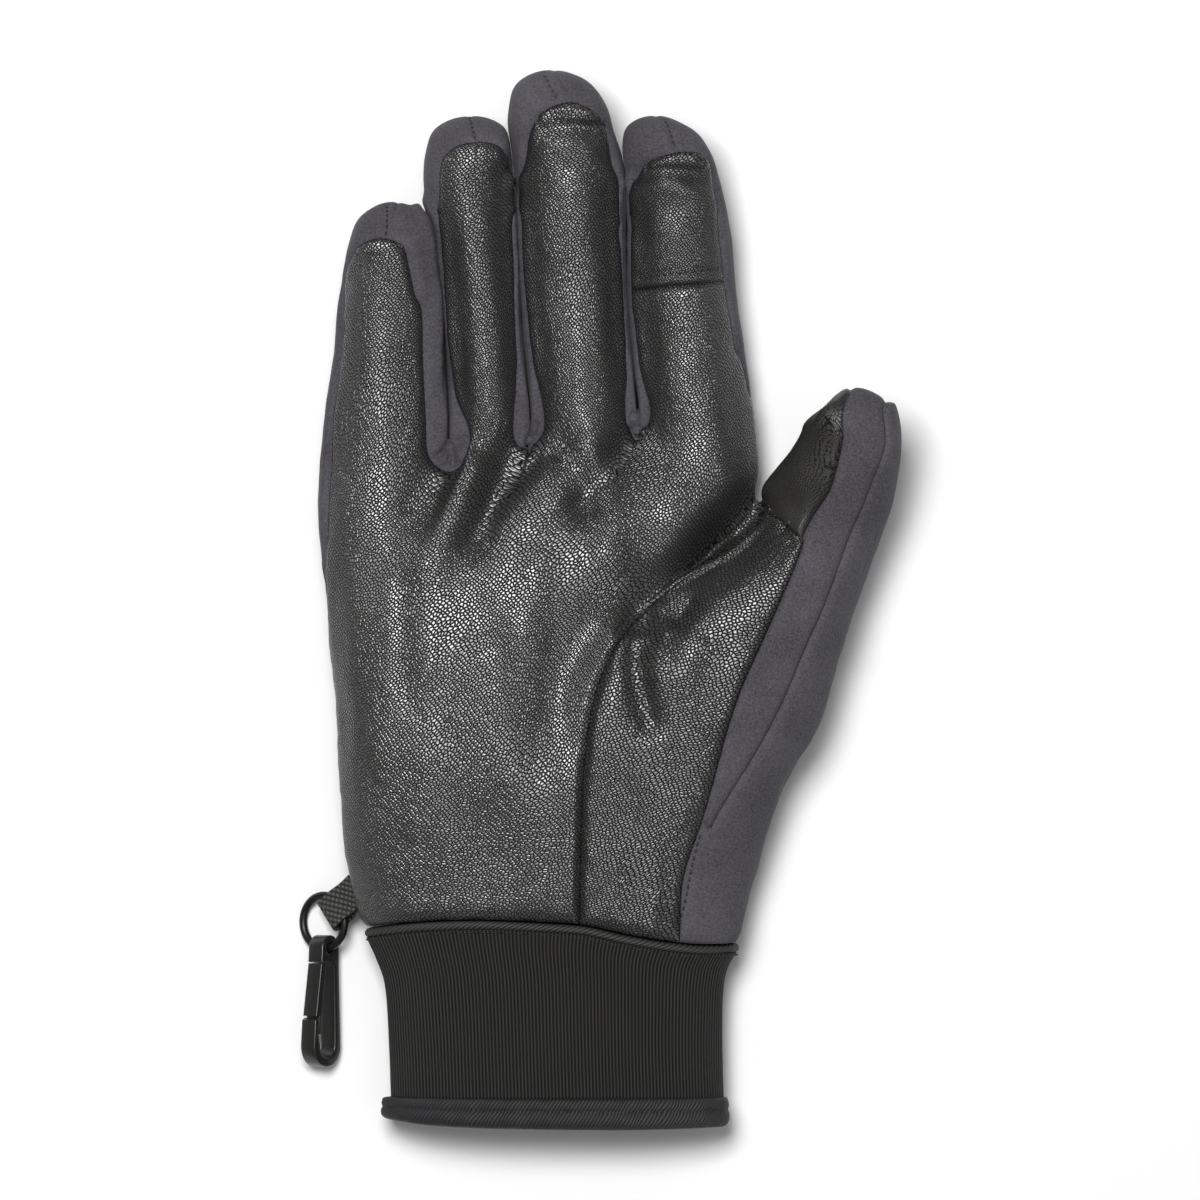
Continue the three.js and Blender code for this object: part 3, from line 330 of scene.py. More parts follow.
@dataclass(frozen=True)
class Fold:
    """A soft fold along a curve through three points: a ridge, or a hollow where its height is negative."""

    start: Pair
    middle: Pair
    end: Pair
    width: float
    height: float

    def rise(self, where: Array) -> Array:
        """Return how much the fold lifts each point.

        Args:
            where: rows of x, y and z.

        Returns:
            One height for each point.
        """
        start, middle, end = (np.array(p, dtype=float) for p in (self.start, self.middle, self.end))
        length = np.hypot(*(end - start))
        samples = max(16, int(length / self.width * 6))
        t = np.linspace(0, 1, samples)[:, None]
        bend = 2 * middle - (start + end) / 2
        line = (1 - t) ** 2 * start + 2 * t * (1 - t) * bend + t * t * end
        low, high = line.min(axis=0) - 3 * self.width, line.max(axis=0) + 3 * self.width
        near = np.flatnonzero(np.all((where[:, :2] > low) & (where[:, :2] < high), axis=1))
        lift = np.zeros(len(where))
        away = np.hypot(*(where[near, None, :2] - line[None]).transpose(2, 0, 1))
        along = away.argmin(axis=1) / (samples - 1)
        taper = ease(np.clip(np.minimum(along, 1 - along) * 4 + 0.15, 0, 1))
        lift[near] = self.height * taper * np.exp(-(away.min(axis=1) / self.width) ** 2)
        return lift


def section_rows(rows: Table) -> list[Section]:
    """Return one section for each row of sizes."""
    return [Section(*row) for row in rows]


def make_digits() -> list[Digit]:
    """Return the four fingers from the little one to the index finger, and then the thumb."""
    little = section_rows((
        (33.4, 34.1, -66.2, -64.5, -40.3, -36.4, 12.5, 11.6),
        (43.0, 43.0, -65.2, -63.9, -40.6, -36.3, 12.8, 11.3),
        (52.0, 52.0, -64.2, -63.2, -40.9, -36.5, 13.2, 11.0),
        (61.0, 61.0, -63.0, -62.1, -41.2, -37.2, 13.8, 10.8),
        (70.5, 70.5, -61.9, -60.8, -41.8, -37.7, 14.8, 10.5),
        (79.9, 79.9, -60.7, -59.0, -43.6, -38.8, 16.2, 10.0),
    ))
    ring = section_rows((
        (37.1, 38.5, -35.2, -31.3, -19.9, -17.0, 12.0, 12.0),
        (49.5, 49.5, -35.7, -34.7, -19.3, -17.4, 12.2, 11.8),
        (62.0, 62.0, -36.5, -35.6, -19.9, -18.5, 12.8, 11.5),
        (74.5, 74.5, -37.1, -36.3, -20.6, -19.3, 13.8, 11.2),
        (85.1, 85.1, -38.6, -37.2, -21.2, -19.9, 15.0, 11.0),
        (93.6, 93.6, -41.2, -38.0, -21.7, -20.3, 16.2, 10.8),
        (100.5, 100.5, -41.8, -38.2, -22.3, -20.7, 17.3, 10.4),
    ))
    middle = section_rows((
        (39.6, 42.4, -16.0, -13.3, 6.3, 8.4, 12.0, 12.3),
        (52.0, 52.0, -16.8, -14.8, 6.1, 8.0, 12.2, 12.1),
        (63.0, 63.0, -18.0, -16.8, 5.7, 7.0, 12.8, 11.8),
        (76.8, 76.8, -18.8, -17.7, 4.9, 6.2, 13.9, 11.4),
        (87.0, 87.0, -19.2, -17.9, 4.4, 6.1, 15.0, 11.1),
        (95.0, 95.0, -19.5, -18.0, 4.0, 5.9, 16.0, 10.9),
        (103.0, 103.0, -20.0, -18.1, 3.3, 5.4, 17.0, 10.6),
        (111.2, 111.2, -21.8, -16.5, 1.9, 3.4, 18.0, 10.0),
    ))
    index = section_rows((
        (43.6, 22.3, 9.7, 11.6, 37.9, 38.6, 12.5, 12.5),
        (51.0, 41.0, 8.9, 10.6, 35.9, 36.6, 12.6, 12.2),
        (61.5, 58.0, 7.8, 8.6, 33.4, 34.4, 13.1, 11.8),
        (73.3, 76.2, 6.9, 7.6, 30.4, 31.9, 14.3, 11.4),
        (83.0, 84.5, 6.8, 7.4, 29.2, 31.2, 15.3, 11.2),
        (93.6, 93.6, 6.6, 7.3, 27.8, 30.1, 16.5, 11.0),
        (101.0, 101.0, 6.2, 8.2, 25.8, 27.8, 17.4, 10.5),
    ))
    thumb = section_rows((
        (22.6, 12.3, 39.5, 40.9, 63.8, 65.2, 21.5, 12.4, 49.1, 59.3),
        (28.2, 20.3, 40.5, 41.9, 66.8, 68.3, 24.0, 12.2, 53.8, 62.5),
        (33.3, 27.7, 43.8, 45.2, 68.9, 70.3, 26.6, 11.9, 55.6, 65.2),
        (39.0, 35.0, 47.5, 48.9, 69.9, 71.2, 29.4, 11.2, 57.0, 67.9),
    ))
    return [
        Digit("little", little, Tip(-47.9, 94.1, -51.0, 86.0, 1.5, 0.85, 0.85)),
        Digit("ring", ring, Tip(-30.8, 114.7, -28.2, 109.0, 1.5, 0.8, 0.7)),
        Digit("middle", middle, Tip(-10.7, 125.4, -6.2, 117.6, 1.5, 0.8, 1.0)),
        Digit("index", index, Tip(13.3, 114.6, 18.4, 106.5, 1.5, 0.8, 0.85)),
        Digit("thumb", thumb, Tip(60.3, 50.2, 60.1, 49.0, 3.0, 1.6, 0.62), thumb=True),
    ]


PALM_ROWS = 14
SIDE_STEPS = 4
THUMB_SEAM_LINE = 4 * (FINGER_COLUMNS + 2) - 1
SEAM_ONE_LINE = THUMB_SEAM_LINE + 1 + LEATHER_COLUMNS
SEAM_TWO_LINE = SEAM_ONE_LINE + STRIP_COLUMNS
LAST_LINE = SEAM_TWO_LINE + SHELL_COLUMNS
CUFF_START = -80.0


@dataclass
class HandForm:
    """The hand of the glove: lines that run up it, as x at each y, and its heights."""

    left_side: Pairs = (
        (-80, -55.4), (-62, -60.2), (-47.6, -61.1), (-28.7, -62.3), (-9.7, -64.1), (4.5, -65.4),
        (18.7, -66.9), (33.4, -66.2),
    )
    left_seam: Pairs = (
        (-80, -54.4), (-62, -59.2), (-47.6, -60.1), (-28.7, -61.3), (-9.7, -63.1), (4.5, -64.4),
        (18.7, -65.6), (33.4, -64.5),
    )
    thumb_seam: Pairs = (
        (-76.8, -5.1), (-58.1, -4.7), (-41.2, -4.3), (-26.3, -2.8), (-15.6, 0.2), (-6.2, 5.9),
        (2.6, 14.2), (10.2, 26.5), (19.4, 38.8),
    )
    seam_one: Pairs = (
        (-81.1, 19.2), (-66.6, 19.9), (-54.5, 24.0), (-41.7, 27.5), (-23.9, 32.5), (-5.0, 40.8), (16, 49.1),
    )
    seam_two: Pairs = (
        (-81.5, 24.4), (-67.8, 23.9), (-54.5, 26.0), (-41.5, 34.1), (-26.3, 42.4), (-5.0, 51.7), (14, 59.3),
    )
    right_side: Pairs = (
        (-82.5, 32.6), (-69.7, 35.3), (-59.5, 38.6), (-50.5, 41.0), (-39.3, 46.2), (-30.1, 51.7),
        (-19.7, 54.9), (-13.3, 56.3), (-4.0, 60.0), (12.3, 65.2),
    )
    cuff_line: Pairs = (
        (-56, -77.7), (-41.7, -76.1), (-28.4, -75.6), (-15.2, -76.1), (-4.5, -76.8), (4.9, -78.8),
        (16.8, -80.8), (24.9, -81.5), (33, -81.1),
    )
    # y, side, crown of the palm, thumb's side, thumb's crown, thumb's back, and how far both pass the seam
    heights: Table = (
        (-84, 13.3, 26.6, 13.3, 26.6, -1.5, 42),
        (-60, 14.5, 30.0, 15.0, 30.8, -1.0, 32),
        (-38, 15.3, 32.5, 17.2, 34.5, 0.6, 19),
        (-16, 15.2, 32.6, 19.2, 36.4, 3.6, 9.5),
        (2, 14.6, 31.0, 20.6, 36.0, 6.8, 5),
        (20, 13.6, 28.4, 21.6, 34.6, 9.4, 2.2),
        (42, 12.6, 25.0, 21.6, 34.6, 9.4, 2.2),
    )
    crotches: tuple[Crotch, ...] = (
        Crotch(-35.4, 30.3, 19.6, 4.6, (-35.7, 36.6, 12.0)),
        Crotch(-16.6, 34.5, 19.6, 4.2, (-16.6, 39.8, 12.0)),
        Crotch(8.9, 37.8, 19.4, 4.2, (8.9, 43.0, 12.0)),
        Crotch(38.8, 19.4, 19.0, 8.6, (38.9, 22.6, 14.0)),
    )
    back_sink: float = 1.8
    back_past: float = 1.2
    front_power: float = 2.6
    back_power: float = 3.4
    blend: float = 4.5
    beyond: float = 6.0
    thumb_limit: float = 66.0
    right_inset: float = 1.4
    back_inset: float = 3.2
    finger_reach: float = 0.74
    notch_start: float = 0.8
    notch_power: float = 2.5
    slide: float = 0.85
    slide_slope: float = 0.3

    def __post_init__(self) -> None:
        """Fit a smooth line through each table."""
        self.left_at = Track(self.left_side)
        self.left_seam_at = Track(self.left_seam)
        self.thumb_at = Track(self.thumb_seam)
        self.one_at = Track(self.seam_one)
        self.two_at = Track(self.seam_two)
        self.right_at = Track(self.right_side)
        self.cuff_at = Track(self.cuff_line)
        columns = [Track([(row[0], row[i]) for row in self.heights]) for i in range(1, 7)]
        self.side, self.crown, self.thumb_side, self.thumb_crown, self.thumb_back, self.past = columns

    @staticmethod
    def mound(x: float, left: float, right: float, power: float) -> float:
        """Return the height of a rounded mound, 1 at its middle and 0 at its sides."""
        across = min(abs((2 * x - left - right) / (right - left)), 1.0)
        return (1 - across ** power) ** (1 / power)

    def joined(self, one: float, other: float) -> float:
        """Return the higher of two heights, with a soft crease where they meet."""
        near = max(self.blend - abs(one - other), 0) / self.blend
        return max(one, other) + near * near * self.blend * 0.25

    def mounds(self, x: float, y: float, past: float, power: float, hand: Pair, thumb: Pair) -> float:
        """Return the height where the hand's mound meets the thumb's.

        Args:
            x: the place's x.
            y: its y.
            past: how far both pass the thumb's seam.
            power: how square the hand's mound is.
            hand: its base and rise.
            thumb: the thumb's.

        Returns:
            The height.
        """
        seam, start = self.thumb_at(y), self.left_at(y)
        left, right = max(seam - past, start), min(self.right_at(y), self.thumb_limit)
        palm = hand[0] + hand[1] * self.mound(x, start, seam + past, power)
        root = thumb[0] + thumb[1] * self.mound(x, left, right, self.front_power)
        return self.joined(
            palm if x < seam + past else hand[0] - self.beyond,
            root if x > left else thumb[0] - self.beyond,
        )

    def front(self, x: float, y: float) -> float:
        """Return the height of the palm's side of the hand."""
        side, thumb_side = self.side(y), self.thumb_side(y)
        hand, thumb = (side, self.crown(y) - side), (thumb_side, self.thumb_crown(y) - thumb_side)
        return self.mounds(x, y, self.past(y), self.front_power, hand, thumb)

    def back(self, x: float, y: float) -> float:
        """Return the height of the back of the hand."""
        side, thumb_side = self.side(y), self.thumb_side(y)
        hand, thumb = (-side, side + self.back_sink), (-thumb_side, thumb_side - self.thumb_back(y))
        return -self.mounds(x, y, self.past(y) * self.back_past, self.back_power, hand, thumb)


class Panel(Enum):
    """The sewn panels of the glove, named after the solids that they stand for."""

    PALM = "palm_leather"
    INDEX_PATCH = "index_touch_patch"
    THUMB_LEATHER = "thumb_leather"
    THUMB_PATCH = "thumb_touch_patch"
    STRIP = "thumb_strip"
    LITTLE_RING = "fourchette_little_ring"
    RING_MIDDLE = "fourchette_ring_middle"
    MIDDLE_INDEX = "fourchette_middle_index"
    BACK = "back_shell"


PANELS = list(Panel)
LEATHERS = (Panel.PALM, Panel.INDEX_PATCH, Panel.THUMB_LEATHER, Panel.THUMB_PATCH)
CORNERS = ((0, 0), (1, 0), (1, 1), (0, 1))
Key = tuple


@dataclass
class Station:
    """One stop of the side wall, on the edge that the front and back sheets share."""

    key: Key
    outline: Array
    out: float
    panel: Panel | None = None


@dataclass
class Cage:
    """The coarse cage of the whole shell: four-sided faces, each with its panel."""

    hand: HandForm
    digits: list[Digit]
    strip_end: float = -56.0
    edge_leather_top: float = 3.0
    patch_row: int = 3
    side_out: float = 0.5
    back_out: float = 0.6
    slot_close: float = 0.4
    slot_depth: float = 1.4
    points: list[Array] = field(default_factory=list)
    quads: list[tuple[int, int, int, int]] = field(default_factory=list)
    owners: list[int] = field(default_factory=list)
    index: dict[Key, int] = field(default_factory=dict)

    def add(self, key: Key, where: Array) -> int:
        """Add a point once and return its number."""
        if key not in self.index:
            self.index[key] = len(self.points)
            self.points.append(where)
        return self.index[key]

    def face(self, corners: Sequence[int], panel: Panel) -> None:
        """Add a four-sided face of a panel."""
        self.quads.append(tuple(corners))
        self.owners.append(PANELS.index(panel))

    def digit_key(self, digit: Digit, column: int, row: int) -> Key:
        """Return the key of a point of a digit's sheet, which shares its base with the hand."""
        if row == 0:
            return ("hand", self.digits.index(digit) * (FINGER_COLUMNS + 2) + column, PALM_ROWS)
        return (digit.name, column, row)

    def tops(self, back: bool) -> list[Array]:
        """Return the point where each line of the hand ends, from the little finger to the thumb."""
        tops = []
        for i, digit in enumerate(self.digits):
            section = digit.sections[0]
            tops += [section.surface(x, back) for x in digit.lines(section, back)]
            if not digit.thumb:
                crotch = self.hand.crotches[i]
                tops.append(place(crotch.x, crotch.y, crotch.back if back else crotch.front))
        return tops

    def row_y(self, tops: list[Array], line: int, start_y: float, up: float) -> float:
        """Return the y of a line of the hand, where a crotch's dip fades within a row or two.

        Args:
            tops: where each line ends.
            line: the line's number.
            start_y: its y at the cuff.
            up: share of the way up.

        Returns:
            The y.
        """
        crotch = line <= THUMB_SEAM_LINE and line % (FINGER_COLUMNS + 2) == FINGER_COLUMNS + 1
        level = (tops[line - 1][1] + tops[line + 1][1]) / 2 if crotch else tops[line][1]
        notch = min(max((up - self.hand.notch_start) / (1 - self.hand.notch_start), 0), 1)
        return lerp(start_y, level, up) + (tops[line][1] - level) * notch ** self.hand.notch_power

    def hand_points(self, back: bool) -> dict[Key, Array]:
        """Return the points of the hand's front or back sheet.

        Args:
            back: whether it is the back one.

        Returns:
            Points keyed by line and row.
        """
        hand = self.hand
        height = hand.back if back else hand.front
        inset = hand.back_inset if back else hand.right_inset
        rails: list[tuple[int, Callable[[float], float]]] = [
            (0, (lambda y: hand.left_at(y) + hand.back_inset) if back else hand.left_seam_at),
            (THUMB_SEAM_LINE, hand.thumb_at),
            (SEAM_ONE_LINE, hand.one_at),
            (SEAM_TWO_LINE, hand.two_at),
            (LAST_LINE, lambda y: hand.right_at(y) - inset),
        ]
        tops = self.tops(back)
        points = {}
        for line, top in enumerate(tops):
            rail = max(1, next(i for i, (at, _) in enumerate(rails) if line <= at))
            (from_line, from_x), (to_line, to_x) = rails[rail - 1], rails[rail]
            share = (line - from_line) / (to_line - from_line)
            from_top, to_top = tops[from_line], tops[to_line]
            top_share = (top[0] - from_top[0]) / (to_top[0] - from_top[0])
            start_y = hand.cuff_at(lerp(from_x(CUFF_START), to_x(CUFF_START), share))
            gap = top[2] - height(top[0], top[1])
            for row in range(PALM_ROWS + 1):
                up = row / PALM_ROWS
                y = self.row_y(tops, line, start_y, up)
                settle = ease(min(max((up - hand.finger_reach) / (1 - hand.finger_reach), 0), 1))
                low = from_x(self.row_y(tops, from_line, hand.cuff_at(from_x(CUFF_START)), up))
                high = to_x(self.row_y(tops, to_line, hand.cuff_at(to_x(CUFF_START)), up))
                low += (from_top[0] - from_x(from_top[1])) * settle
                high += (to_top[0] - to_x(to_top[1])) * settle
                straight = settle * hand.slide * min(1, 4.4 * share * (1 - share)) * (line < THUMB_SEAM_LINE)
                below = top[0] - hand.slide_slope * (top[1] - y)
                x = lerp(lerp(low, high, lerp(share, top_share, ease(up))), below, straight)
                z = height(x, y) + gap * settle
                points["hand", line, row] = place(x, y, on_rest(z) if back else z)
        return points

    def sheet_points(self, back: bool) -> dict[Key, Array]:
        """Return all the points of the front or back sheet, keyed as digit_key names them."""
        points = self.hand_points(back)
        for digit in self.digits:
            for row, section in enumerate(digit.sections):
                for column, x in enumerate(digit.lines(section, back)):
                    points[self.digit_key(digit, column, row)] = section.surface(x, back)
            for step in range(1, CAP_STEPS + 1):
                for column in range(digit.columns + 1):
                    key = self.digit_key(digit, column, len(digit.sections) - 1 + step)
                    points[key] = digit.sheet(digit.share(column, back), step / CAP_STEPS, back)
        return points

    def hand_panel(self, line: int, y: float) -> Panel:
        """Return the panel of a face of the hand's front."""
        if line < THUMB_SEAM_LINE:
            return Panel.PALM
        if line < SEAM_ONE_LINE:
            return Panel.THUMB_LEATHER
        return Panel.STRIP if line < SEAM_TWO_LINE and y > self.strip_end else Panel.BACK

    def digit_panel(self, digit: Digit, column: int, row: int) -> Panel:
        """Return the panel of a face of a digit's front."""
        if digit.thumb:
            return self.thumb_panel(column)
        return Panel.INDEX_PATCH if digit.name == "index" and row >= self.patch_row else Panel.PALM

    @staticmethod
    def thumb_panel(column: int) -> Panel:
        """Return the panel of a column of the thumb."""
        if column < LEATHER_COLUMNS:
            return Panel.THUMB_PATCH
        return Panel.STRIP if column < LEATHER_COLUMNS + STRIP_COLUMNS else Panel.BACK

    def sheet_faces(self, front: dict[Key, Array]) -> list[tuple[list[Key], Panel]]:
        """Return the four keys and the panel of each face of the front sheet."""
        faces = []
        for line in range(LAST_LINE):
            for row in range(PALM_ROWS):
                keys = [("hand", line + i, row + j) for i, j in CORNERS]
                faces.append((keys, self.hand_panel(line, front[keys[0]][1])))
        for digit in self.digits:
            for column in range(digit.columns):
                for row in range(digit.rows):
                    keys = [self.digit_key(digit, column + i, row + j) for i, j in CORNERS]
                    faces.append((keys, self.digit_panel(digit, column, row)))
        return faces

    def digit_stations(self, digit: Digit) -> list[Station]:
        """Return the stations round a digit, up its left side, over its tip and down its right side."""
        shaft = len(digit.sections) - 1
        closing = 0.0 if digit.thumb else self.slot_close

        def on_row(row: int, column: int) -> Station:
            """Return the station at the edge of one row of the shaft."""
            section = digit.sections[row]
            left = column == 0
            seam = section.seam_left if left else section.seam_right
            x = section.side_left if left else section.side_right
            outer = (digit.name == "little" and left) or (digit.name == "index" and not left)
            shift = 0.0 if outer or row == shaft else (-closing if left else closing)
            y = section.y_left if left else section.y_right
            out = abs(seam - section.centre) / section.reach
            return Station(self.digit_key(digit, column, row), place(x + shift, y, section.mid), out)

        def on_cap(column: int, step: int) -> Station:
            """Return the station at one place on the rim of the rounded end."""
            u, up = digit.share(column, False), step / CAP_STEPS
            key = self.digit_key(digit, column, shaft + step)
            return Station(key, digit.outline(u, up), digit.edge(u, up, False))

        stations = [on_row(row, 0) for row in range(shaft + 1)]
        stations += [on_cap(0, step) for step in range(1, CAP_STEPS + 1)]
        stations += [on_cap(column, CAP_STEPS) for column in range(1, digit.columns + 1)]
        stations += [on_cap(digit.columns, step) for step in range(CAP_STEPS - 1, 0, -1)]
        stations += [on_row(row, digit.columns) for row in range(shaft, -1, -1)]
        self.name_wall(digit, stations)
        return stations

    def name_wall(self, digit: Digit, stations: list[Station]) -> None:
        """Give each station of a digit the panel of the side wall from there to the next one."""
        between = (Panel.BACK, Panel.LITTLE_RING, Panel.RING_MIDDLE, Panel.MIDDLE_INDEX, Panel.BACK)
        for i, station in enumerate(stations):
            column = i - digit.rows
            if digit.thumb:
                station.panel = self.thumb_panel(column)
            else:
                station.panel = between[self.digits.index(digit) + (column >= FINGER_COLUMNS // 2)]

    def wall_stations(self, front: dict[Key, Array]) -> list[Station]:
        """Return every station of the side wall, from the cuff's left side to its right side."""
        hand = self.hand
        stations = []
        for row in range(PALM_ROWS):
            y = front["hand", 0, row][1]
            outline = place(hand.left_at(y), y, hand.side(y))
            panel = None if y < self.edge_leather_top else Panel.BACK
            stations.append(Station(("hand", 0, row), outline, self.side_out, panel))
        for i, digit in enumerate(self.digits):
            own = self.digit_stations(digit)
            if i > 0:
                slot = place(*hand.crotches[i - 1].slot)
                previous = stations[-1]
                for station in (previous, own[0]):
                    station.outline[1] = max(station.outline[1], slot[1] + self.slot_depth)
                key = ("hand", i * (FINGER_COLUMNS + 2) - 1, PALM_ROWS)
                panel = Panel.THUMB_LEATHER if digit.thumb else previous.panel
                stations.append(Station(key, slot, self.side_out, panel))
            stations += own
        for row in range(PALM_ROWS - 1, -1, -1):
            y = front["hand", LAST_LINE, row][1]
            outline = place(hand.right_at(y), y, hand.thumb_side(y))
            stations.append(Station(("hand", LAST_LINE, row), outline, self.side_out, Panel.BACK))
        return stations

    def wall_ring(self, station: Station, edge: Array, under: Array) -> list[int]:
        """Add the points of the side wall at one station, from the front to the back.

        Args:
            station: the station.
            edge: the front sheet's point there.
            under: the back sheet's.

        Returns:
            Their numbers.
        """
        half = SIDE_STEPS // 2
        outline = station.outline

        def arc(end: Array, turn: float, share: float) -> Array:
            """Return the point a share of the way from a sheet's edge round to the outline."""
            angle = turn * (1 - share)
            reach = (1 - math.cos(angle)) / (1 - math.cos(turn))
            flat = outline[:2] + (end[:2] - outline[:2]) * reach
            return place(*flat, lerp(outline[2], end[2], math.sin(angle) / math.sin(turn)))

        ring = [self.add(("front", station.key), edge)]
        for k in range(1, SIDE_STEPS):
            if k <= half:
                where = arc(edge, math.acos(station.out), k / half)
            else:
                where = arc(under, math.acos(self.back_out), 2 - k / half)
            where[2] = on_rest(where[2])
            ring.append(self.add(("wall", station.key, k), where))
        ring.append(self.add(("back", station.key), under))
        return ring

    def build(self) -> None:
        """Fill the cage: the front and back sheets, and the side wall between them."""
        front, back = self.sheet_points(False), self.sheet_points(True)
        for keys, panel in self.sheet_faces(front):
            self.face([self.add(("front", key), front[key]) for key in keys], panel)
            under = [self.add(("back", key), back[key]) for key in keys]
            self.face(under[::-1], Panel.BACK)
        stations = self.wall_stations(front)
        rings = [self.wall_ring(s, front[s.key], back[s.key]) for s in stations]
        for i, station in enumerate(stations[:-1]):
            for k in range(SIDE_STEPS):
                edge = Panel.PALM if k < SIDE_STEPS // 2 else Panel.BACK
                corners = (rings[i][k], rings[i + 1][k], rings[i + 1][k + 1], rings[i][k + 1])
                self.face(corners, station.panel or edge)


def use_object(piece: Piece) -> None:
    """Deselect everything, then select one object and make it the active one."""
    bpy.ops.object.select_all(action="DESELECT")
    piece.select_set(True)
    bpy.context.view_layer.objects.active = piece


def mesh_object(name: str, points: Array, faces: Sequence[Sequence[int]]) -> Piece:
    """Make a smooth mesh object from points in millimetres.

    Args:
        name: the piece's name.
        points: rows of x, y and z.
        faces: the corner numbers of each face.

    Returns:
        The new object, at the origin.
    """
    mesh = bpy.data.meshes.new(name)
    mesh.from_pydata((np.asarray(points) * MM).tolist(), [], [list(map(int, face)) for face in faces])
    mesh.update()
    mesh.shade_smooth()
    piece = bpy.data.objects.new(name, mesh)
    bpy.context.scene.collection.objects.link(piece)
    return piece


def lay_flat(piece: Piece, flat: Array) -> None:
    """Give a piece a UV map that holds where each point lies on the flat hide, in millimetres."""
    corners = np.empty(len(piece.data.loops), dtype=np.int32)
    piece.data.loops.foreach_get("vertex_index", corners)
    layer = piece.data.uv_layers.new(name="hide")
    layer.data.foreach_set("uv", flat[corners].astype(np.float32).ravel())


def read_mesh(piece: Piece) -> tuple[Array, Array]:
    """Return a mesh's points in millimetres and its four-sided faces."""
    mesh = piece.data
    points = np.empty(len(mesh.vertices) * 3)
    mesh.vertices.foreach_get("co", points)
    corners = np.empty(len(mesh.loops), dtype=np.int64)
    mesh.loops.foreach_get("vertex_index", corners)
    return points.reshape(-1, 3) / MM, corners.reshape(-1, 4)


def scatter(points: Array, width: float, seed: float = 0.0) -> Array:
    """Return smooth seeded noise, from -1 to 1, with lumps of a width, one value for each point."""
    shift = Vector((seed, 2 * seed, 3 * seed))
    return np.array([noise.noise(Vector(p) / width + shift) for p in points])


def uneven(points: Array, lumps: Table) -> Array:
    """Add up several kinds of noise.

    Args:
        points: rows of x, y and z.
        lumps: the height, width and seed of each kind, and how far it is drawn out along the glove.

    Returns:
        One height for each point.
    """
    return sum(size * scatter(points * (1, drawn, 1), width, seed) for size, width, seed, drawn in lumps)


def neighbour_mean(values: Array, edges: Array) -> Array:
    """Return the mean of the values at the points that each point shares an edge with."""
    count = np.maximum(np.bincount(edges.ravel(), minlength=len(values)), 1)
    mean = np.zeros_like(values)
    for axis in range(values.shape[1]):
        mean[:, axis] = np.bincount(edges[:, 0], values[edges[:, 1], axis], len(values))
        mean[:, axis] += np.bincount(edges[:, 1], values[edges[:, 0], axis], len(values))
    return mean / count[:, None]


@dataclass
class Surface:
    """A mesh of four-sided faces with a panel for each, at one fineness."""

    points: Array
    quads: Array
    owners: Array

    def normals(self) -> Array:
        """Return the outward direction at each point."""
        a, b, c, d = (self.points[self.quads[:, i]] for i in range(4))
        facing = np.cross(c - a, d - b)
        normals = np.zeros_like(self.points)
        for i in range(4):
            np.add.at(normals, self.quads[:, i], facing)
        return unit(normals)

    def centres(self) -> Array:
        """Return the middle of each face."""
        return self.points[self.quads].mean(axis=1)

    def facing(self) -> Array:
        """Return how far each face looks up, from -1 to 1."""
        return self.normals()[self.quads].mean(axis=1)[:, 2]

    def cloth(self) -> BVHTree:
        """Return the surface as a tree that a ray can hit."""
        return BVHTree.FromPolygons(self.points.tolist(), self.quads.tolist())

    def refined(self, levels: int, at_limit: bool = False) -> "Surface":
        """Return the surface divided by a Subdivision Surface modifier.

        Args:
            levels: how often each face is divided.
            at_limit: whether the points lie on the endlessly divided surface.

        Returns:
            The finer surface, whose first points are this one's.
        """
        piece = mesh_object("cage", self.points, self.quads)
        owner = piece.data.attributes.new("owner", "INT", "FACE")
        owner.data.foreach_set("value", self.owners.astype(np.int32))
        modifier = piece.modifiers.new("finer", "SUBSURF")
        modifier.levels = levels
        modifier.render_levels = levels
        modifier.use_limit_surface = at_limit
        use_object(piece)
        bpy.ops.object.modifier_apply(modifier=modifier.name)
        points, quads = read_mesh(piece)
        owners = np.empty(len(quads), dtype=np.int32)
        piece.data.attributes["owner"].data.foreach_get("value", owners)
        bpy.data.meshes.remove(piece.data)
        return Surface(points, quads, owners)

    def cut(self, number: int) -> "Surface":
        """Return one panel as a surface of its own."""
        quads = self.quads[self.owners == number]
        used, slot = np.unique(quads, return_inverse=True)
        return Surface(self.points[used], slot.reshape(-1, 4), np.full(len(quads), number, dtype=np.int32))

    def edges(self) -> tuple[Array, Array, Array]:
        """Find the edges.

        Returns:
            The two points of each, the two faces beside it, and the ends of the open edges.
        """
        start, end = self.quads.ravel(), np.roll(self.quads, -1, axis=1).ravel()
        face = np.repeat(np.arange(len(self.quads)), 4)
        ends = np.sort(np.stack([start, end], axis=1), axis=1)
        number = ends[:, 0] * len(self.points) + ends[:, 1]
        order = np.argsort(number, kind="stable")
        same = number[order][:-1] == number[order][1:]
        shared = np.zeros(len(order), dtype=bool)
        shared[order[:-1][same]] = True
        shared[order[1:][same]] = True
        pairs = np.stack([face[order[:-1][same]], face[order[1:][same]]], axis=1)
        return ends[order[:-1][same]], pairs, ends[~shared]


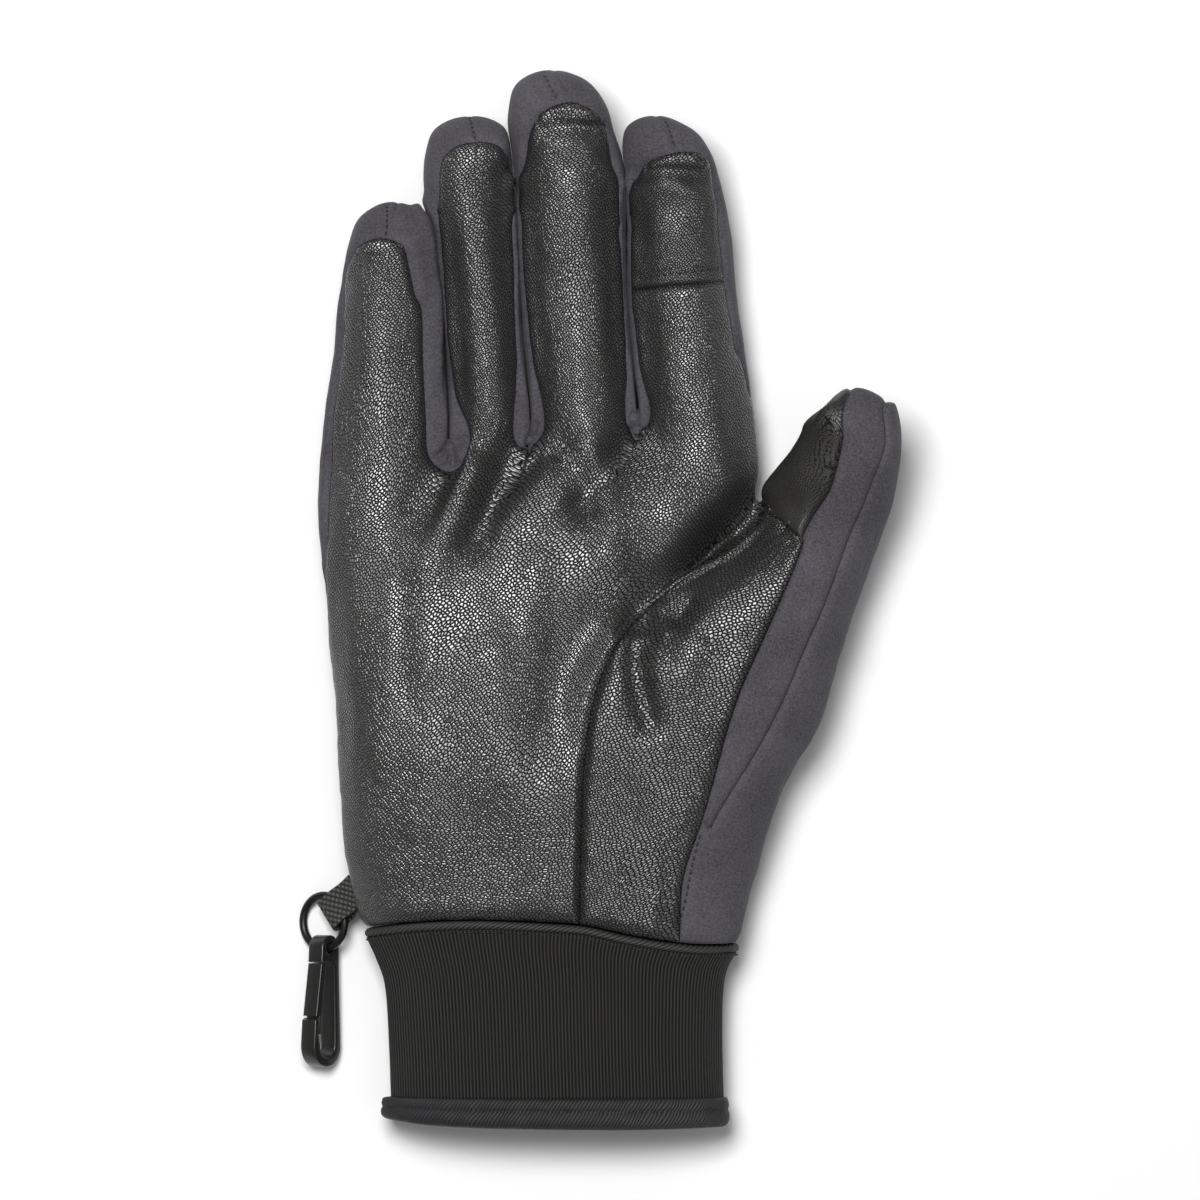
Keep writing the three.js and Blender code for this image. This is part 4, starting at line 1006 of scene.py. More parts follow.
def chained(edges: Array) -> list[list[int]]:
    """Join edges end to end.

    Args:
        edges: two point numbers for each.

    Returns:
        The point numbers along each line.
    """
    beside: dict[int, list[int]] = {}
    for a, b in edges.tolist():
        beside.setdefault(a, []).append(b)
        beside.setdefault(b, []).append(a)
    starts = sorted(p for p, near in beside.items() if len(near) != 2) + sorted(beside)
    left = {tuple(sorted(edge)) for edge in edges.tolist()}
    lines = []
    for start in starts:
        for onward in sorted(beside[start]):
            if tuple(sorted((start, onward))) not in left:
                continue
            line = [start]
            here = onward
            while True:
                left.discard(tuple(sorted((line[-1], here))))
                line.append(here)
                ways = [p for p in beside[here] if tuple(sorted((here, p))) in left]
                if len(beside[here]) != 2 or not ways:
                    break
                here = ways[0]
            lines.append(line)
    return lines


@dataclass(frozen=True)
class SeamStyle:
    """How a sewn seam draws the cloth in: the dip along it, and the small gathers that run away from it."""

    depth: float
    width: float
    gather: float
    reach: float
    pitch: float

    def shift(self, points: Array, seam: Array, seed: float) -> tuple[Array, Array]:
        """Work out how the seam moves each point in or out.

        Args:
            points: rows of x, y and z.
            seam: points along the seam.
            seed: where the gathers' noise starts.

        Returns:
            The dip and the gathers at each point.
        """
        limit = 4 * max(self.width, self.reach)
        low, high = seam.min(axis=0) - limit, seam.max(axis=0) + limit
        near = np.flatnonzero(np.all((points > low) & (points < high), axis=1))
        away, number = nearest(points[near], seam)
        foot = seam[number]
        dip = np.zeros(len(points))
        gathers = np.zeros(len(points))
        dip[near] = -self.depth * np.exp(-(away / self.width) ** 1.6)
        rise = self.gather * np.exp(-away / self.reach) * (1 - np.exp(-(away / 0.7) ** 2))
        close = np.flatnonzero(rise > 0.01)
        gathers[near[close]] = rise[close] * scatter(foot[close], self.pitch, seed)
        return dip, gathers


FINGER_SEAM = SeamStyle(depth=1.0, width=1.0, gather=0.45, reach=2.6, pitch=2.6)
TIP_SEAM = SeamStyle(depth=0.25, width=0.6, gather=0.25, reach=1.6, pitch=1.8)
THUMB_SEAM = SeamStyle(depth=1.5, width=1.0, gather=0.35, reach=3.0, pitch=3.4)
STRIP_SEAM = SeamStyle(depth=0.8, width=0.8, gather=0.25, reach=2.0, pitch=3.0)
PATCH_SEAM = SeamStyle(depth=0.5, width=0.6, gather=0.3, reach=2.5, pitch=2.8)
CUFF_SEAM = SeamStyle(depth=1.0, width=1.6, gather=0.5, reach=4.0, pitch=4.2)
STITCH_GROOVE = SeamStyle(depth=0.7, width=0.75, gather=0.3, reach=1.6, pitch=2.2)
FOURCHETTES = {Panel.LITTLE_RING, Panel.RING_MIDDLE, Panel.MIDDLE_INDEX}


def seam_style(pair: set[Panel]) -> SeamStyle:
    """Return how the seam between two panels is drawn in."""
    if pair == {Panel.PALM, Panel.THUMB_LEATHER}:
        return THUMB_SEAM
    if pair in ({Panel.PALM, Panel.INDEX_PATCH}, {Panel.THUMB_LEATHER, Panel.THUMB_PATCH}):
        return PATCH_SEAM
    if pair <= FOURCHETTES | {Panel.BACK}:
        return TIP_SEAM
    if Panel.STRIP in pair or pair == {Panel.THUMB_LEATHER, Panel.BACK}:
        return STRIP_SEAM
    return FINGER_SEAM


# The main folds of the leather, as in the solid, and the finer ones between them
MAIN_FOLDS = [Fold(*row) for row in (
    ((-20.5, 42), (-25.5, 26), (-31.5, 8), 4.5, -2.8),
    ((-27.5, 36), (-36, 22), (-43.5, 0), 5.5, 1.6),
    ((-12, 40), (-5.5, 30), (-3, 16), 5, -1.8),
    ((-7, 40), (2, 26), (0.5, 2), 5, 1.8),
    ((-12, 0), (-10, -22), (-4, -48), 6, -1.3),
    ((-27, -6), (-23, -28), (-14, -58), 8, 1.2),
    ((42, 20.5), (22, 4.5), (4, -10.5), 7.0, -6.0),
    ((8, -9), (9.5, -21), (13.5, -34), 3.4, -2.4),
    ((25, -8), (21, -14), (18.5, -24), 4, 0.8),
    ((6, -11), (1, -26), (-0.5, -50), 4, 0.7),
    ((23, 0.5), (20, -3), (17, -6.5), 2.2, -2.2),
    ((15.5, 0.5), (14.2, -4.5), (16.5, -10), 1.8, 0.9),
    ((-46, 8), (-46.5, -8), (-45, -26), 3.2, -0.8),
    ((-14, 14), (-15, -2), (-12, -20), 4, 0.7),
    ((-16, 109), (-8, 112), (1.5, 109), 1.7, -0.7),
    ((-16.5, 103.5), (-9, 107.5), (2, 104), 1.9, 0.6),
    ((-16.5, 98), (-8, 102), (3, 99), 2.2, -0.5),
    ((8.5, 99), (16, 101.5), (26, 98.5), 1.6, -0.8),
    ((8, 94), (14, 98), (26, 95), 1.8, 0.6),
    ((7, 87), (15, 92), (28, 89), 2.2, -0.5),
)]


def smooth_line(points: Pairs, steps: int = 12) -> Array:
    """Return a smooth line through points in the plane, as rows of x and y."""
    p = np.array(points, dtype=float)
    ends = np.vstack([2 * p[0] - p[1], p, 2 * p[-1] - p[-2]])
    t = np.linspace(0, 1, steps, endpoint=False)[:, None]
    parts = []
    for i in range(len(p) - 1):
        a, b, c, d = ends[i:i + 4]
        bend = (2 * a - 5 * b + 4 * c - d) * t * t + (3 * b - a - 3 * c + d) * t ** 3
        parts.append(0.5 * (2 * b + (c - a) * t + bend))
    return np.vstack([*parts, p[-1:]])


def enclosed(where: Array, ring: Array) -> Array:
    """Return which points lie inside a closed line in the plane."""
    within = np.zeros(len(where), dtype=bool)
    for (ax, ay), (bx, by) in zip(ring, np.roll(ring, -1, axis=0)):
        if ay != by:
            crosses = (ay > where[:, 1]) != (by > where[:, 1])
            within ^= crosses & (where[:, 0] < (bx - ax) * (where[:, 1] - ay) / (by - ay) + ax)
    return within


def dropped(line: Array, cloth: BVHTree) -> tuple[Array, Array]:
    """Lay a line of the front view on the cloth.

    Args:
        line: rows of x and y.
        cloth: the surfaces below.

    Returns:
        The points on the cloth, and the way that it faces at each.
    """
    hits = [cloth.ray_cast(Vector((x, y, ABOVE_ALL)), DOWN)[:2] for x, y in line]
    laid = [(where[:], facing[:]) for where, facing in hits if where]
    return np.array([where for where, _ in laid]), np.array([facing for _, facing in laid])


@dataclass(frozen=True)
class SewnEnd:
    """The seam round the end of a leather panel, as the eye sees it from the front."""

    panel: Panel
    points: Pairs
    outer: Panel | None = None
    margin: float = 2.6
    lowest: float = 0.12
    fade: float = 9.0
    grasp: float = 3.2

    def claim(self, surface: Surface) -> None:
        """Give each face near the seam to the panel on its side of the line."""
        line = smooth_line(self.points)
        centres = surface.centres()
        number, leathers = PANELS.index(self.panel), [PANELS.index(panel) for panel in LEATHERS]
        if self.outer:
            beyond = [line[-1] + (8, 0), line[-1] + (8, 60), line[0] + (-8, 60)]
            both = (number, PANELS.index(self.outer))
            within = enclosed(centres[:, :2], np.vstack([line, beyond]))
            near = np.isin(surface.owners, both)
            surface.owners[near & within] = both[0]
            surface.owners[near & ~within] = both[1]
            return
        low, high = line.min(axis=0), line.max(axis=0)
        near = (surface.facing() > self.lowest) & (centres[:, 1] > low[1] + 3)
        near &= (centres[:, 0] > low[0] - self.margin) & (centres[:, 0] < high[0] + self.margin)
        within = enclosed(centres[:, :2], line)
        leather = np.isin(surface.owners, leathers)
        surface.owners[near & within & ~leather] = number
        astray = near & ~within & leather
        surface.owners[astray] = surface.owners[~leather][nearest(centres[astray], centres[~leather])[1]]

    def pull(self, points: Array, facing: Array) -> Array:
        """Return how far each seam point moves in the plane to reach the line.

        Args:
            points: the seam's points.
            facing: how far each one faces up.

        Returns:
            Rows of x and y.
        """
        line = smooth_line(self.points)
        away = np.hypot(*(points[:, None, :2] - line[None]).transpose(2, 0, 1))
        nearest = away.argmin(axis=1)
        along = nearest / (len(line) - 1)
        share = ramp(np.minimum(along, 1 - along), 0, self.fade)
        share = share * (away.min(axis=1) < self.grasp) * ramp(facing, 0.15, 4)
        return (line[nearest] - points[:, :2]) * share[:, None]


# Read off the photograph's front view, in millimetres
SEWN_ENDS = (
    SewnEnd(Panel.PALM, (
        (-62.6, 69.4), (-61.6, 75.1), (-60.3, 79.7), (-58.6, 82.8), (-56.3, 84.8), (-53.4, 85.8),
        (-50.6, 85.7), (-48.1, 84.8), (-46.2, 83.0), (-45.0, 79.7), (-43.8, 74.4), (-42.5, 67.3),
    )),
    SewnEnd(Panel.PALM, (
        (-38.2, 87.8), (-38.7, 96.3), (-38.6, 101.5), (-37.6, 104.5), (-35.3, 106.8), (-32.6, 108.1),
        (-29.4, 108.7), (-26.3, 108.5), (-23.4, 107.4), (-21.7, 105.3), (-20.8, 101.9), (-20.3, 96.3),
        (-20.1, 87.8),
    )),
    SewnEnd(Panel.PALM, (
        (-18.2, 92.0), (-18.4, 101.2), (-17.9, 106.5), (-16.6, 110.9), (-14.6, 114.3), (-12.0, 116.6),
        (-8.6, 117.8), (-5.8, 117.7), (-2.4, 116.4), (0.6, 113.9), (2.5, 110.0), (3.2, 104.7),
        (3.7, 99.1), (4.5, 90.6),
    )),
    SewnEnd(Panel.INDEX_PATCH, (
        (6.3, 87.8), (7.0, 93.4), (7.9, 97.7), (9.2, 101.2), (11.8, 103.7), (15.4, 105.3),
        (18.9, 106.1), (22.6, 106.3), (24.9, 105.4), (26.5, 102.7), (27.2, 98.4), (28.4, 93.4),
        (29.5, 87.8),
    )),
    SewnEnd(Panel.THUMB_PATCH, (
        (36.0, 29.0), (38.3, 24.8), (41.8, 19.2), (46.6, 15.2), (48.6, 12.4), (51.0, 8.5),
    ), Panel.THUMB_LEATHER),
)


# Lines of stitches across the panels, in the front view: the touch patches' edges, the middle seam of
# each fingertip, and the seam below the thumb
STITCH_LINES: tuple[Pairs, ...] = (
    ((9.0, 76.1), (14.2, 77.0), (21.3, 77.6), (28.9, 78.6)),
    ((38.9, 23.9), (40.3, 21.6), (41.9, 19.2), (43.8, 17.1)),
    ((43.1, 16.4), (44.5, 14.8), (46.0, 13.0)),
    ((-50.5, 93.4), (-50.4, 90.0), (-50.6, 86.6)),
    ((-31.0, 114.6), (-30.2, 111.8), (-29.6, 109.2)),
    ((-13.6, 124.2), (-12.8, 123.5), (-12.1, 122.1), (-10.1, 118.2)),
    ((15.4, 113.5), (16.8, 110.0), (17.8, 106.9)),
    ((23.7, -55.2), (22.0, -61.9), (20.4, -70.2), (18.7, -77.0)),
)


# Where each crotch's strip puckers into its seam
PLEATS = [Fold(*row) for row in (
    ((-35.4, 37.6), (-37, 35.4), (-39.4, 33.2), 0.7, -1.8),
    ((-34.8, 37.6), (-34.9, 34.6), (-34.6, 31.2), 0.7, -1.6),
    ((-34.6, 37.2), (-32.6, 37.7), (-30.6, 38.6), 0.8, -1.8),
    ((-37.6, 31.8), (-36.8, 33.4), (-36.2, 34.6), 1.1, 0.9),
    ((-32.2, 33.2), (-33.2, 34.2), (-33.8, 35.6), 1.1, 0.9),
    ((-15.2, 43), (-15.7, 39.6), (-17.8, 36.4), 0.75, -2.0),
    ((-17.8, 36.6), (-17, 35.4), (-15.8, 33.8), 0.6, -1.6),
    ((-15.6, 38.8), (-14.4, 38.2), (-13.2, 37.2), 0.6, -1.5),
    ((7.8, 45), (8.4, 41.6), (9.7, 38.4), 0.7, -2.4),
    ((8.6, 41), (7.2, 40.4), (6.0, 40.8), 0.6, -1.6),
    ((9.2, 40), (10.4, 39.8), (11.4, 40.6), 0.6, -1.6),
)]


# Where the thumb's leather fills out, below its tip and at the web: middle, way, reach and size
FILLS = (
    ((55.0, 44.6), (-0.9, 0.3), 4.5, 1.5),
    ((51.8, 44.4), (-0.8, 0.6), 3.6, 0.9),
    ((39.5, 24.5), (-0.95, 0.3), 4.5, 1.8),
)


# Corners where several seams meet, which the cloth rounds off: middle and reach
CALM_SPOTS = (
    ((53.5, 44.5), 5.5),
    ((36.0, 20.5), 6.0),
    ((30.0, 12.5), 4.0),
    ((-21.2, 105.6), 1.8),
    ((0.9, 114.2), 1.8),
    ((5.2, 92.0), 2.2),
    ((-20.0, 95.4), 1.8),
)


# How fast the unevenness comes in, a millimetre, above where the glove lies flat
SETTLE = 0.25
# How far one smoothing step goes, and a pair of steps that rounds a line off without shortening it
RELAX = 0.6
SHRINK = 0.5
SWELL = -0.52


@dataclass
class Shell:
    """The sewn shell of the glove: leather and softshell panels on one smooth form."""

    cage: Cage
    finishes: dict[Panel, Material]
    leather_wall: float = 1.3
    softshell_wall: float = 1.5
    levels: int = 2
    rounding: int = 14
    rounding_reach: float = 2.6
    step_limit: float = 2.0
    slot_start: float = 30.0
    slot_end: float = 101.0
    slot_reach: float = 5.0
    slot_gap: float = 0.12
    tips_start: float = 60.0
    sharp_lean: float = 0.75
    folded_lean: float = 0.5
    unfold_rounds: int = 8
    calm_rounds: int = 24
    flat_level: float = 1.0
    lumps: Table = ((0.5, 15, 1.0, 1), (0.16, 5.5, 2.0, 1), (0.4, 7, 6.0, 0.35))
    hide_level: float = 26.0
    hide_smoothing: int = 30
    hide: Array = field(init=False)

    def smooth(self) -> tuple[Surface, Surface]:
        """Divide the cage, first swollen so that the smooth form keeps the cage's size.

        Returns:
            The coarser surface, and the finer one, which starts with the coarser one's points.
        """
        self.cage.build()
        rough = Surface(np.array(self.cage.points), np.array(self.cage.quads), np.array(self.cage.owners))
        settled = rough.refined(1, at_limit=True).points[:len(rough.points)]
        rough.points = 2 * rough.points - settled
        coarse = rough.refined(self.levels)
        for end in SEWN_ENDS:
            end.claim(coarse)
        self.reach_web(coarse)
        self.trim_side(coarse)
        self.even_out(coarse)
        return coarse, coarse.refined(1)

    def reach_web(self, surface: Surface) -> None:
        """Carry the palm's leather out to the index finger's edge where it nears the thumb."""
        x, y, _ = surface.centres().T
        lowest = np.interp(y, (44, 60), (-0.2, 0.6))
        web = (surface.owners == PANELS.index(Panel.BACK)) & (surface.facing() > lowest)
        web &= (x > 26) & (x < 42) & (y > 12) & (y < 60)
        surface.owners[web] = PANELS.index(Panel.PALM)

    @staticmethod
    def trim_side(surface: Surface) -> None:
        """Run the palm leather's lower edge smoothly from the hand's side into the little finger's."""
        x, y, z = surface.centres().T
        pair = (PANELS.index(Panel.PALM), PANELS.index(Panel.BACK))
        side = np.isin(surface.owners, pair) & (x < -58) & (((y > -16) & (y < 16)) | ((y > 62) & (y < 77)))
        edge = np.interp(y, (-16, 16, 62, 77), (15.0, 19.2, 18.2, 18.0))
        surface.owners[side] = np.where(z > edge, *pair)[side]

    @staticmethod
    def even_out(surface: Surface) -> None:
        """Take single faces that stick out past a seam back to the panel round them."""
        edges, faces, _ = surface.edges()
        for _ in range(4):
            owners = surface.owners
            votes = np.zeros((len(owners), len(PANELS)), dtype=int)
            np.add.at(votes, (faces[:, 0], owners[faces[:, 1]]), 1)
            np.add.at(votes, (faces[:, 1], owners[faces[:, 0]]), 1)
            most = votes.argmax(axis=1)
            outvoted = (votes.max(axis=1) >= 3) & (most != owners)
            surface.owners = np.where(outvoted, most, owners)

    def drawn_in(self, surface: Surface, seams: Array) -> None:
        """Lay the seams on their lines, and carry the cloth beside them along.

        Args:
            surface: the shell.
            seams: the edges of the seams.
        """
        points = surface.points
        facing, cloth = surface.normals()[:, 2], surface.cloth()
        target = points.copy()
        number = np.unique(seams)
        for end in SEWN_ENDS:
            target[number, :2] += end.pull(target[number], facing[number])
        moved = number[np.any(target[number] != points[number], axis=1)]
        for i in moved:
            hit = cloth.ray_cast(Vector((*target[i, :2], ABOVE_ALL)), DOWN)[0]
            if hit and abs(hit[2] - points[i, 2]) < self.step_limit:
                target[i, 2] = hit[2]
            else:
                target[i] = points[i]
        for line in chained(seams):
            path = target[line]
            for step in range(2 * self.rounding):
                share = SHRINK if step % 2 == 0 else SWELL
                path[1:-1] += share * ((path[:-2] + path[2:]) / 2 - path[1:-1])
            target[line] = path
        shift = (target - points)[number]
        away, foot = nearest(points, points[number])
        points += shift[foot] * np.exp(-(away / self.rounding_reach) ** 2)[:, None]

    def leaned(self, surface: Surface, edges: Array) -> None:
        """Let the walls of each slot lean together until they all but touch.

        Args:
            surface: the shell.
            edges: its edges.
        """
        points = surface.points
        out = surface.normals() * (1, 1, 0)
        steep = np.abs(out[:, 0]) > 0.35
        steep &= (points[:, 1] > self.slot_start) & (points[:, 1] < self.slot_end)
        out = unit(out)
        cloth = surface.cloth()
        lean = np.zeros(len(points))
        for i in np.flatnonzero(steep):
            way = Vector(out[i])
            where, facing, _, far = cloth.ray_cast(Vector(points[i]) + 0.05 * way, way, self.slot_reach)
            if where and facing.dot(way) < -0.2:
                lean[i] = max(far / 2 - self.slot_gap, 0)
        lean = lean[:, None]
        for _ in range(5):
            lean = (1 - RELAX) * lean + RELAX * neighbour_mean(lean, edges)
        points += out * lean

    def worn(self, surface: Surface) -> None:
        """Give the smooth form its folds, seams, gathers and unevenness."""
        points = surface.points
        facing = ramp(surface.normals()[:, 2], 0, 1.6)
        lift = sum(fold.rise(points) for fold in MAIN_FOLDS) * facing
        edges, faces, open_edges = surface.edges()
        owners = surface.owners[faces]
        groups: dict[SeamStyle, list[Array]] = {}
        for a in range(len(PANELS)):
            for b in range(a + 1, len(PANELS)):
                found = edges[np.all(np.sort(owners, axis=1) == (a, b), axis=1)]
                if len(found):
                    groups.setdefault(seam_style({PANELS[a], PANELS[b]}), []).append(found)
        self.drawn_in(surface, np.concatenate([*groups[FINGER_SEAM], *groups[PATCH_SEAM]]))
        self.unfolded(surface, edges, self.sharp_lean)
        normals = surface.normals()
        groups[CUFF_SEAM] = [open_edges]
        self.leaned(surface, edges)
        self.filled(points)
        lines = [
            (style, points[np.unique(np.concatenate(found))], 3.1 * i)
            for i, (style, found) in enumerate(groups.items())
        ]
        cloth = surface.cloth()
        lines += [(STITCH_GROOVE, dropped(smooth_line(line), cloth)[0], 8.0) for line in STITCH_LINES]
        dip = np.zeros(len(points))
        gathers = np.zeros(len(points))
        for style, line, seed in lines:
            own_dip, own_gathers = style.shift(points, line, seed)
            dip = np.minimum(dip, own_dip)
            gathers += own_gathers
        above = ramp(points[:, 2], self.flat_level, SETTLE)
        points += normals * ((dip + gathers + uneven(points, self.lumps)) * above)[:, None]
        points[:, 2] += lift
        self.unfolded(surface, edges, self.folded_lean)
        self.calmed(points, edges)
        points[:, 2] = np.maximum(points[:, 2], REST_LEVEL)

    def unfolded(self, surface: Surface, edges: Array, limit: float) -> None:
        """Smooth the fingertips wherever a drawn seam has turned the cloth over.

        Args:
            surface: the shell.
            edges: its edges.
            limit: the least cosine of a lean from the cloth around.
        """
        points = surface.points
        tips = points[:, 1] > self.tips_start
        for _ in range(self.unfold_rounds):
            around = normals = surface.normals()
            for _ in range(5):
                around = neighbour_mean(around, edges)
            leant = np.sum(normals * unit(around), axis=1)
            turned = (tips & (leant < limit)).astype(float)[:, None]
            for _ in range(2):
                turned = np.clip(np.maximum(turned, 3 * neighbour_mean(turned, edges)), 0, 1)
            for _ in range(3):
                points += RELAX * turned * (neighbour_mean(points, edges) - points)

    @staticmethod
    def filled(points: Array) -> None:
        """Push the thumb's leather out to the photograph's outline."""
        for middle, way, reach, size in FILLS:
            away = np.hypot(*(points[:, :2] - middle).T)
            points[:, :2] += size * np.exp(-(away / reach) ** 2)[:, None] * way

    def calmed(self, points: Array, edges: Array) -> None:
        """Round off the corners where seams meet.

        Args:
            points: the shell's points.
            edges: its edges.
        """
        share = np.zeros(len(points))
        for middle, reach in CALM_SPOTS:
            away = np.hypot(*(points[:, :2] - middle).T)
            share = np.maximum(share, np.exp(-(away / reach) ** 4))
        for _ in range(self.calm_rounds):
            points += RELAX * share[:, None] * (neighbour_mean(points, edges) - points)

    def panel_mesh(self, panel: Panel, coarse: Surface, fine: Surface, normals: Array) -> Piece:
        """Cut one panel out of the shell as a closed wall, fine outside and coarser inside.

        Args:
            panel: the panel.
            coarse: the coarser surface.
            fine: the finer one.
            normals: the outward direction at each fine point.

        Returns:
            The object.
        """
        number = PANELS.index(panel)
        outer = fine.quads[fine.owners == number]
        under = coarse.quads[coarse.owners == number]
        start, end = under.ravel(), np.roll(under, -1, axis=1).ravel()
        sides = set(zip(start.tolist(), end.tolist()))
        rim = [(a, b) for a, b in sides if (b, a) not in sides]
        halfway = self.halfway(outer, len(coarse.points))
        used = np.unique(outer)
        slot = np.full(len(fine.points), -1)
        slot[used] = np.arange(len(used))
        below = np.unique(under)
        below_slot = np.full(len(coarse.points), -1)
        below_slot[below] = len(used) + np.arange(len(below))
        wall = self.leather_wall if panel in LEATHERS else self.softshell_wall
        inner = fine.points[below] - normals[below] * wall
        inner[:, 2] = np.maximum(inner[:, 2], REST_LEVEL + 0.2)
        faces = slot[outer].tolist() + below_slot[under[:, ::-1]].tolist()
        for a, b in sorted(rim):
            middle = slot[halfway[tuple(sorted((a, b)))]]
            faces.append([slot[b], middle, below_slot[b]])
            faces.append([middle, slot[a], below_slot[a], below_slot[b]])
        piece = mesh_object(panel.value, np.concatenate([fine.points[used], inner]), faces)
        if panel in LEATHERS:
            lay_flat(piece, np.concatenate([self.hide[used], self.hide[below]]))
        return piece

    def pleated(self, panel: Panel, surface: Surface) -> Piece:
        """Cut out a strip between two fingers, finer than the rest, with the pleats at its crotch."""
        coarse = surface.cut(PANELS.index(panel))
        fine = coarse.refined(1)
        facing = fine.normals()[:, 2]
        lift = sum(fold.rise(fine.points) for fold in PLEATS)
        fine.points[:, 2] += lift * ramp(facing, 0.05, 3)
        return self.panel_mesh(panel, coarse, fine, fine.normals())

    @staticmethod
    def halfway(quads: Array, old: int) -> dict[tuple[int, int], int]:
        """Find the new point in the middle of each edge of the coarser faces.

        Args:
            quads: the finer faces.
            old: how many coarser points there are.

        Returns:
            The middle point's number for each pair of old points.
        """
        start, end = quads.ravel(), np.roll(quads, -1, axis=1).ravel()
        near: dict[int, set[int]] = {}
        for a, b in zip(start.tolist(), end.tolist()):
            if a < old <= b:
                near.setdefault(b, set()).add(a)
            elif b < old <= a:
                near.setdefault(a, set()).add(b)
        return {tuple(sorted(ends)): middle for middle, ends in near.items() if len(ends) == 2}

    def build(self) -> list[Piece]:
        """Make every panel, dress it and fasten it to the glove."""
        coarse, fine = self.smooth()
        tilt = fine.normals()[:, :2]
        self.worn(fine)
        # A point lower down a side lies further out on the hide as it was before it was sewn
        slip = tilt * (self.hide_level - fine.points[:, 2:])
        edges = fine.edges()[0]
        for _ in range(self.hide_smoothing):
            slip = neighbour_mean(slip, edges)
        self.hide = fine.points[:, :2] + slip
        normals = fine.normals()
        pieces = []
        for panel in PANELS:
            if panel in FOURCHETTES:
                piece = self.pleated(panel, fine)
            else:
                piece = self.panel_mesh(panel, coarse, fine, normals)
            fasten(piece, self.finishes[panel], panel.value)
            pieces.append(piece)
        return pieces


def fasten(piece: Piece, finish: Material, solid: str | None = None, body: str = GLOVE_BODY) -> None:
    """Dress a piece, fix it to a body and let it stand for its solid.

    Args:
        piece: the piece.
        finish: its material.
        solid: the CAD node that it replaces, if any.
        body: the body that it moves with.
    """
    piece.data.materials.clear()
    piece.data.materials.append(finish)
    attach(piece, body)
    if solid:
        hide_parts(solid)
    log.info("%s: %d faces", piece.name, len(piece.data.polygons))


def node(tree: Tree, kind: str, settings: dict, out: int | str = 0, **links: Socket) -> Socket:
    """Add a node with its settings and links.

    Args:
        tree: the material's nodes.
        kind: the node's type.
        settings: values by property, input name or input number.
        out: the output that is wanted.
        links: what feeds each input, named, or as "in" and a number.

    Returns:
        The output.
    """
    made = tree.nodes.new("ShaderNode" + kind)
    for name, value in settings.items():
        if isinstance(name, str) and hasattr(made, name):
            setattr(made, name, value)
        else:
            made.inputs[name].default_value = value
    for name, socket in links.items():
        tree.links.new(socket, made.inputs[int(name[2:]) if name.startswith("in") else name])
    return made.outputs[out]


def set_shader(tree: Tree, **values: float | Sequence[float] | Socket) -> None:
    """Set or link inputs of the shader, each named with an underscore for a space."""
    shader = tree.nodes["Principled BSDF"]
    for name, value in values.items():
        socket = shader.inputs[name.replace("_", " ")]
        if isinstance(value, Socket):
            tree.links.new(value, socket)
        else:
            socket.default_value = value


def per_mm(size: float) -> float:
    """Return the scale, on coordinates in metres, of a pattern with a unit of a size in millimetres."""
    return 1 / (size * MM)


@dataclass(frozen=True)
class Finish:
    """What a piece is made of: a new material, which each kind fills with its own nodes."""

    name: str

    def build(self) -> Material:
        """Return the material."""
        material = bpy.data.materials.new(self.name)
        material.use_nodes = True
        self.fill(material.node_tree)
        return material

    def fill(self, tree: Tree) -> None:
        """Set the shader, and add the nodes that feed it."""
        raise NotImplementedError

    @staticmethod
    def two_toned(tree: Tree, tones: tuple[str, str], share: Socket, height: Socket, relief: Pair) -> Socket:
        """Give the shader two tones and a relief.

        Args:
            tree: the material's nodes.
            tones: the colours at shares 0 and 1.
            share: what mixes them.
            height: what the relief follows.
            relief: its strength, and its depth in millimetres.

        Returns:
            The relief's normal.
        """
        low, high = (linear(tone) for tone in tones)
        colour = node(tree, "Mix", {"data_type": "RGBA", 6: low, 7: high}, 2, in0=share)
        normal = node(tree, "Bump", {"Strength": relief[0], "Distance": relief[1] * MM}, Height=height)
        set_shader(tree, Base_Color=colour, Normal=normal)
        return normal


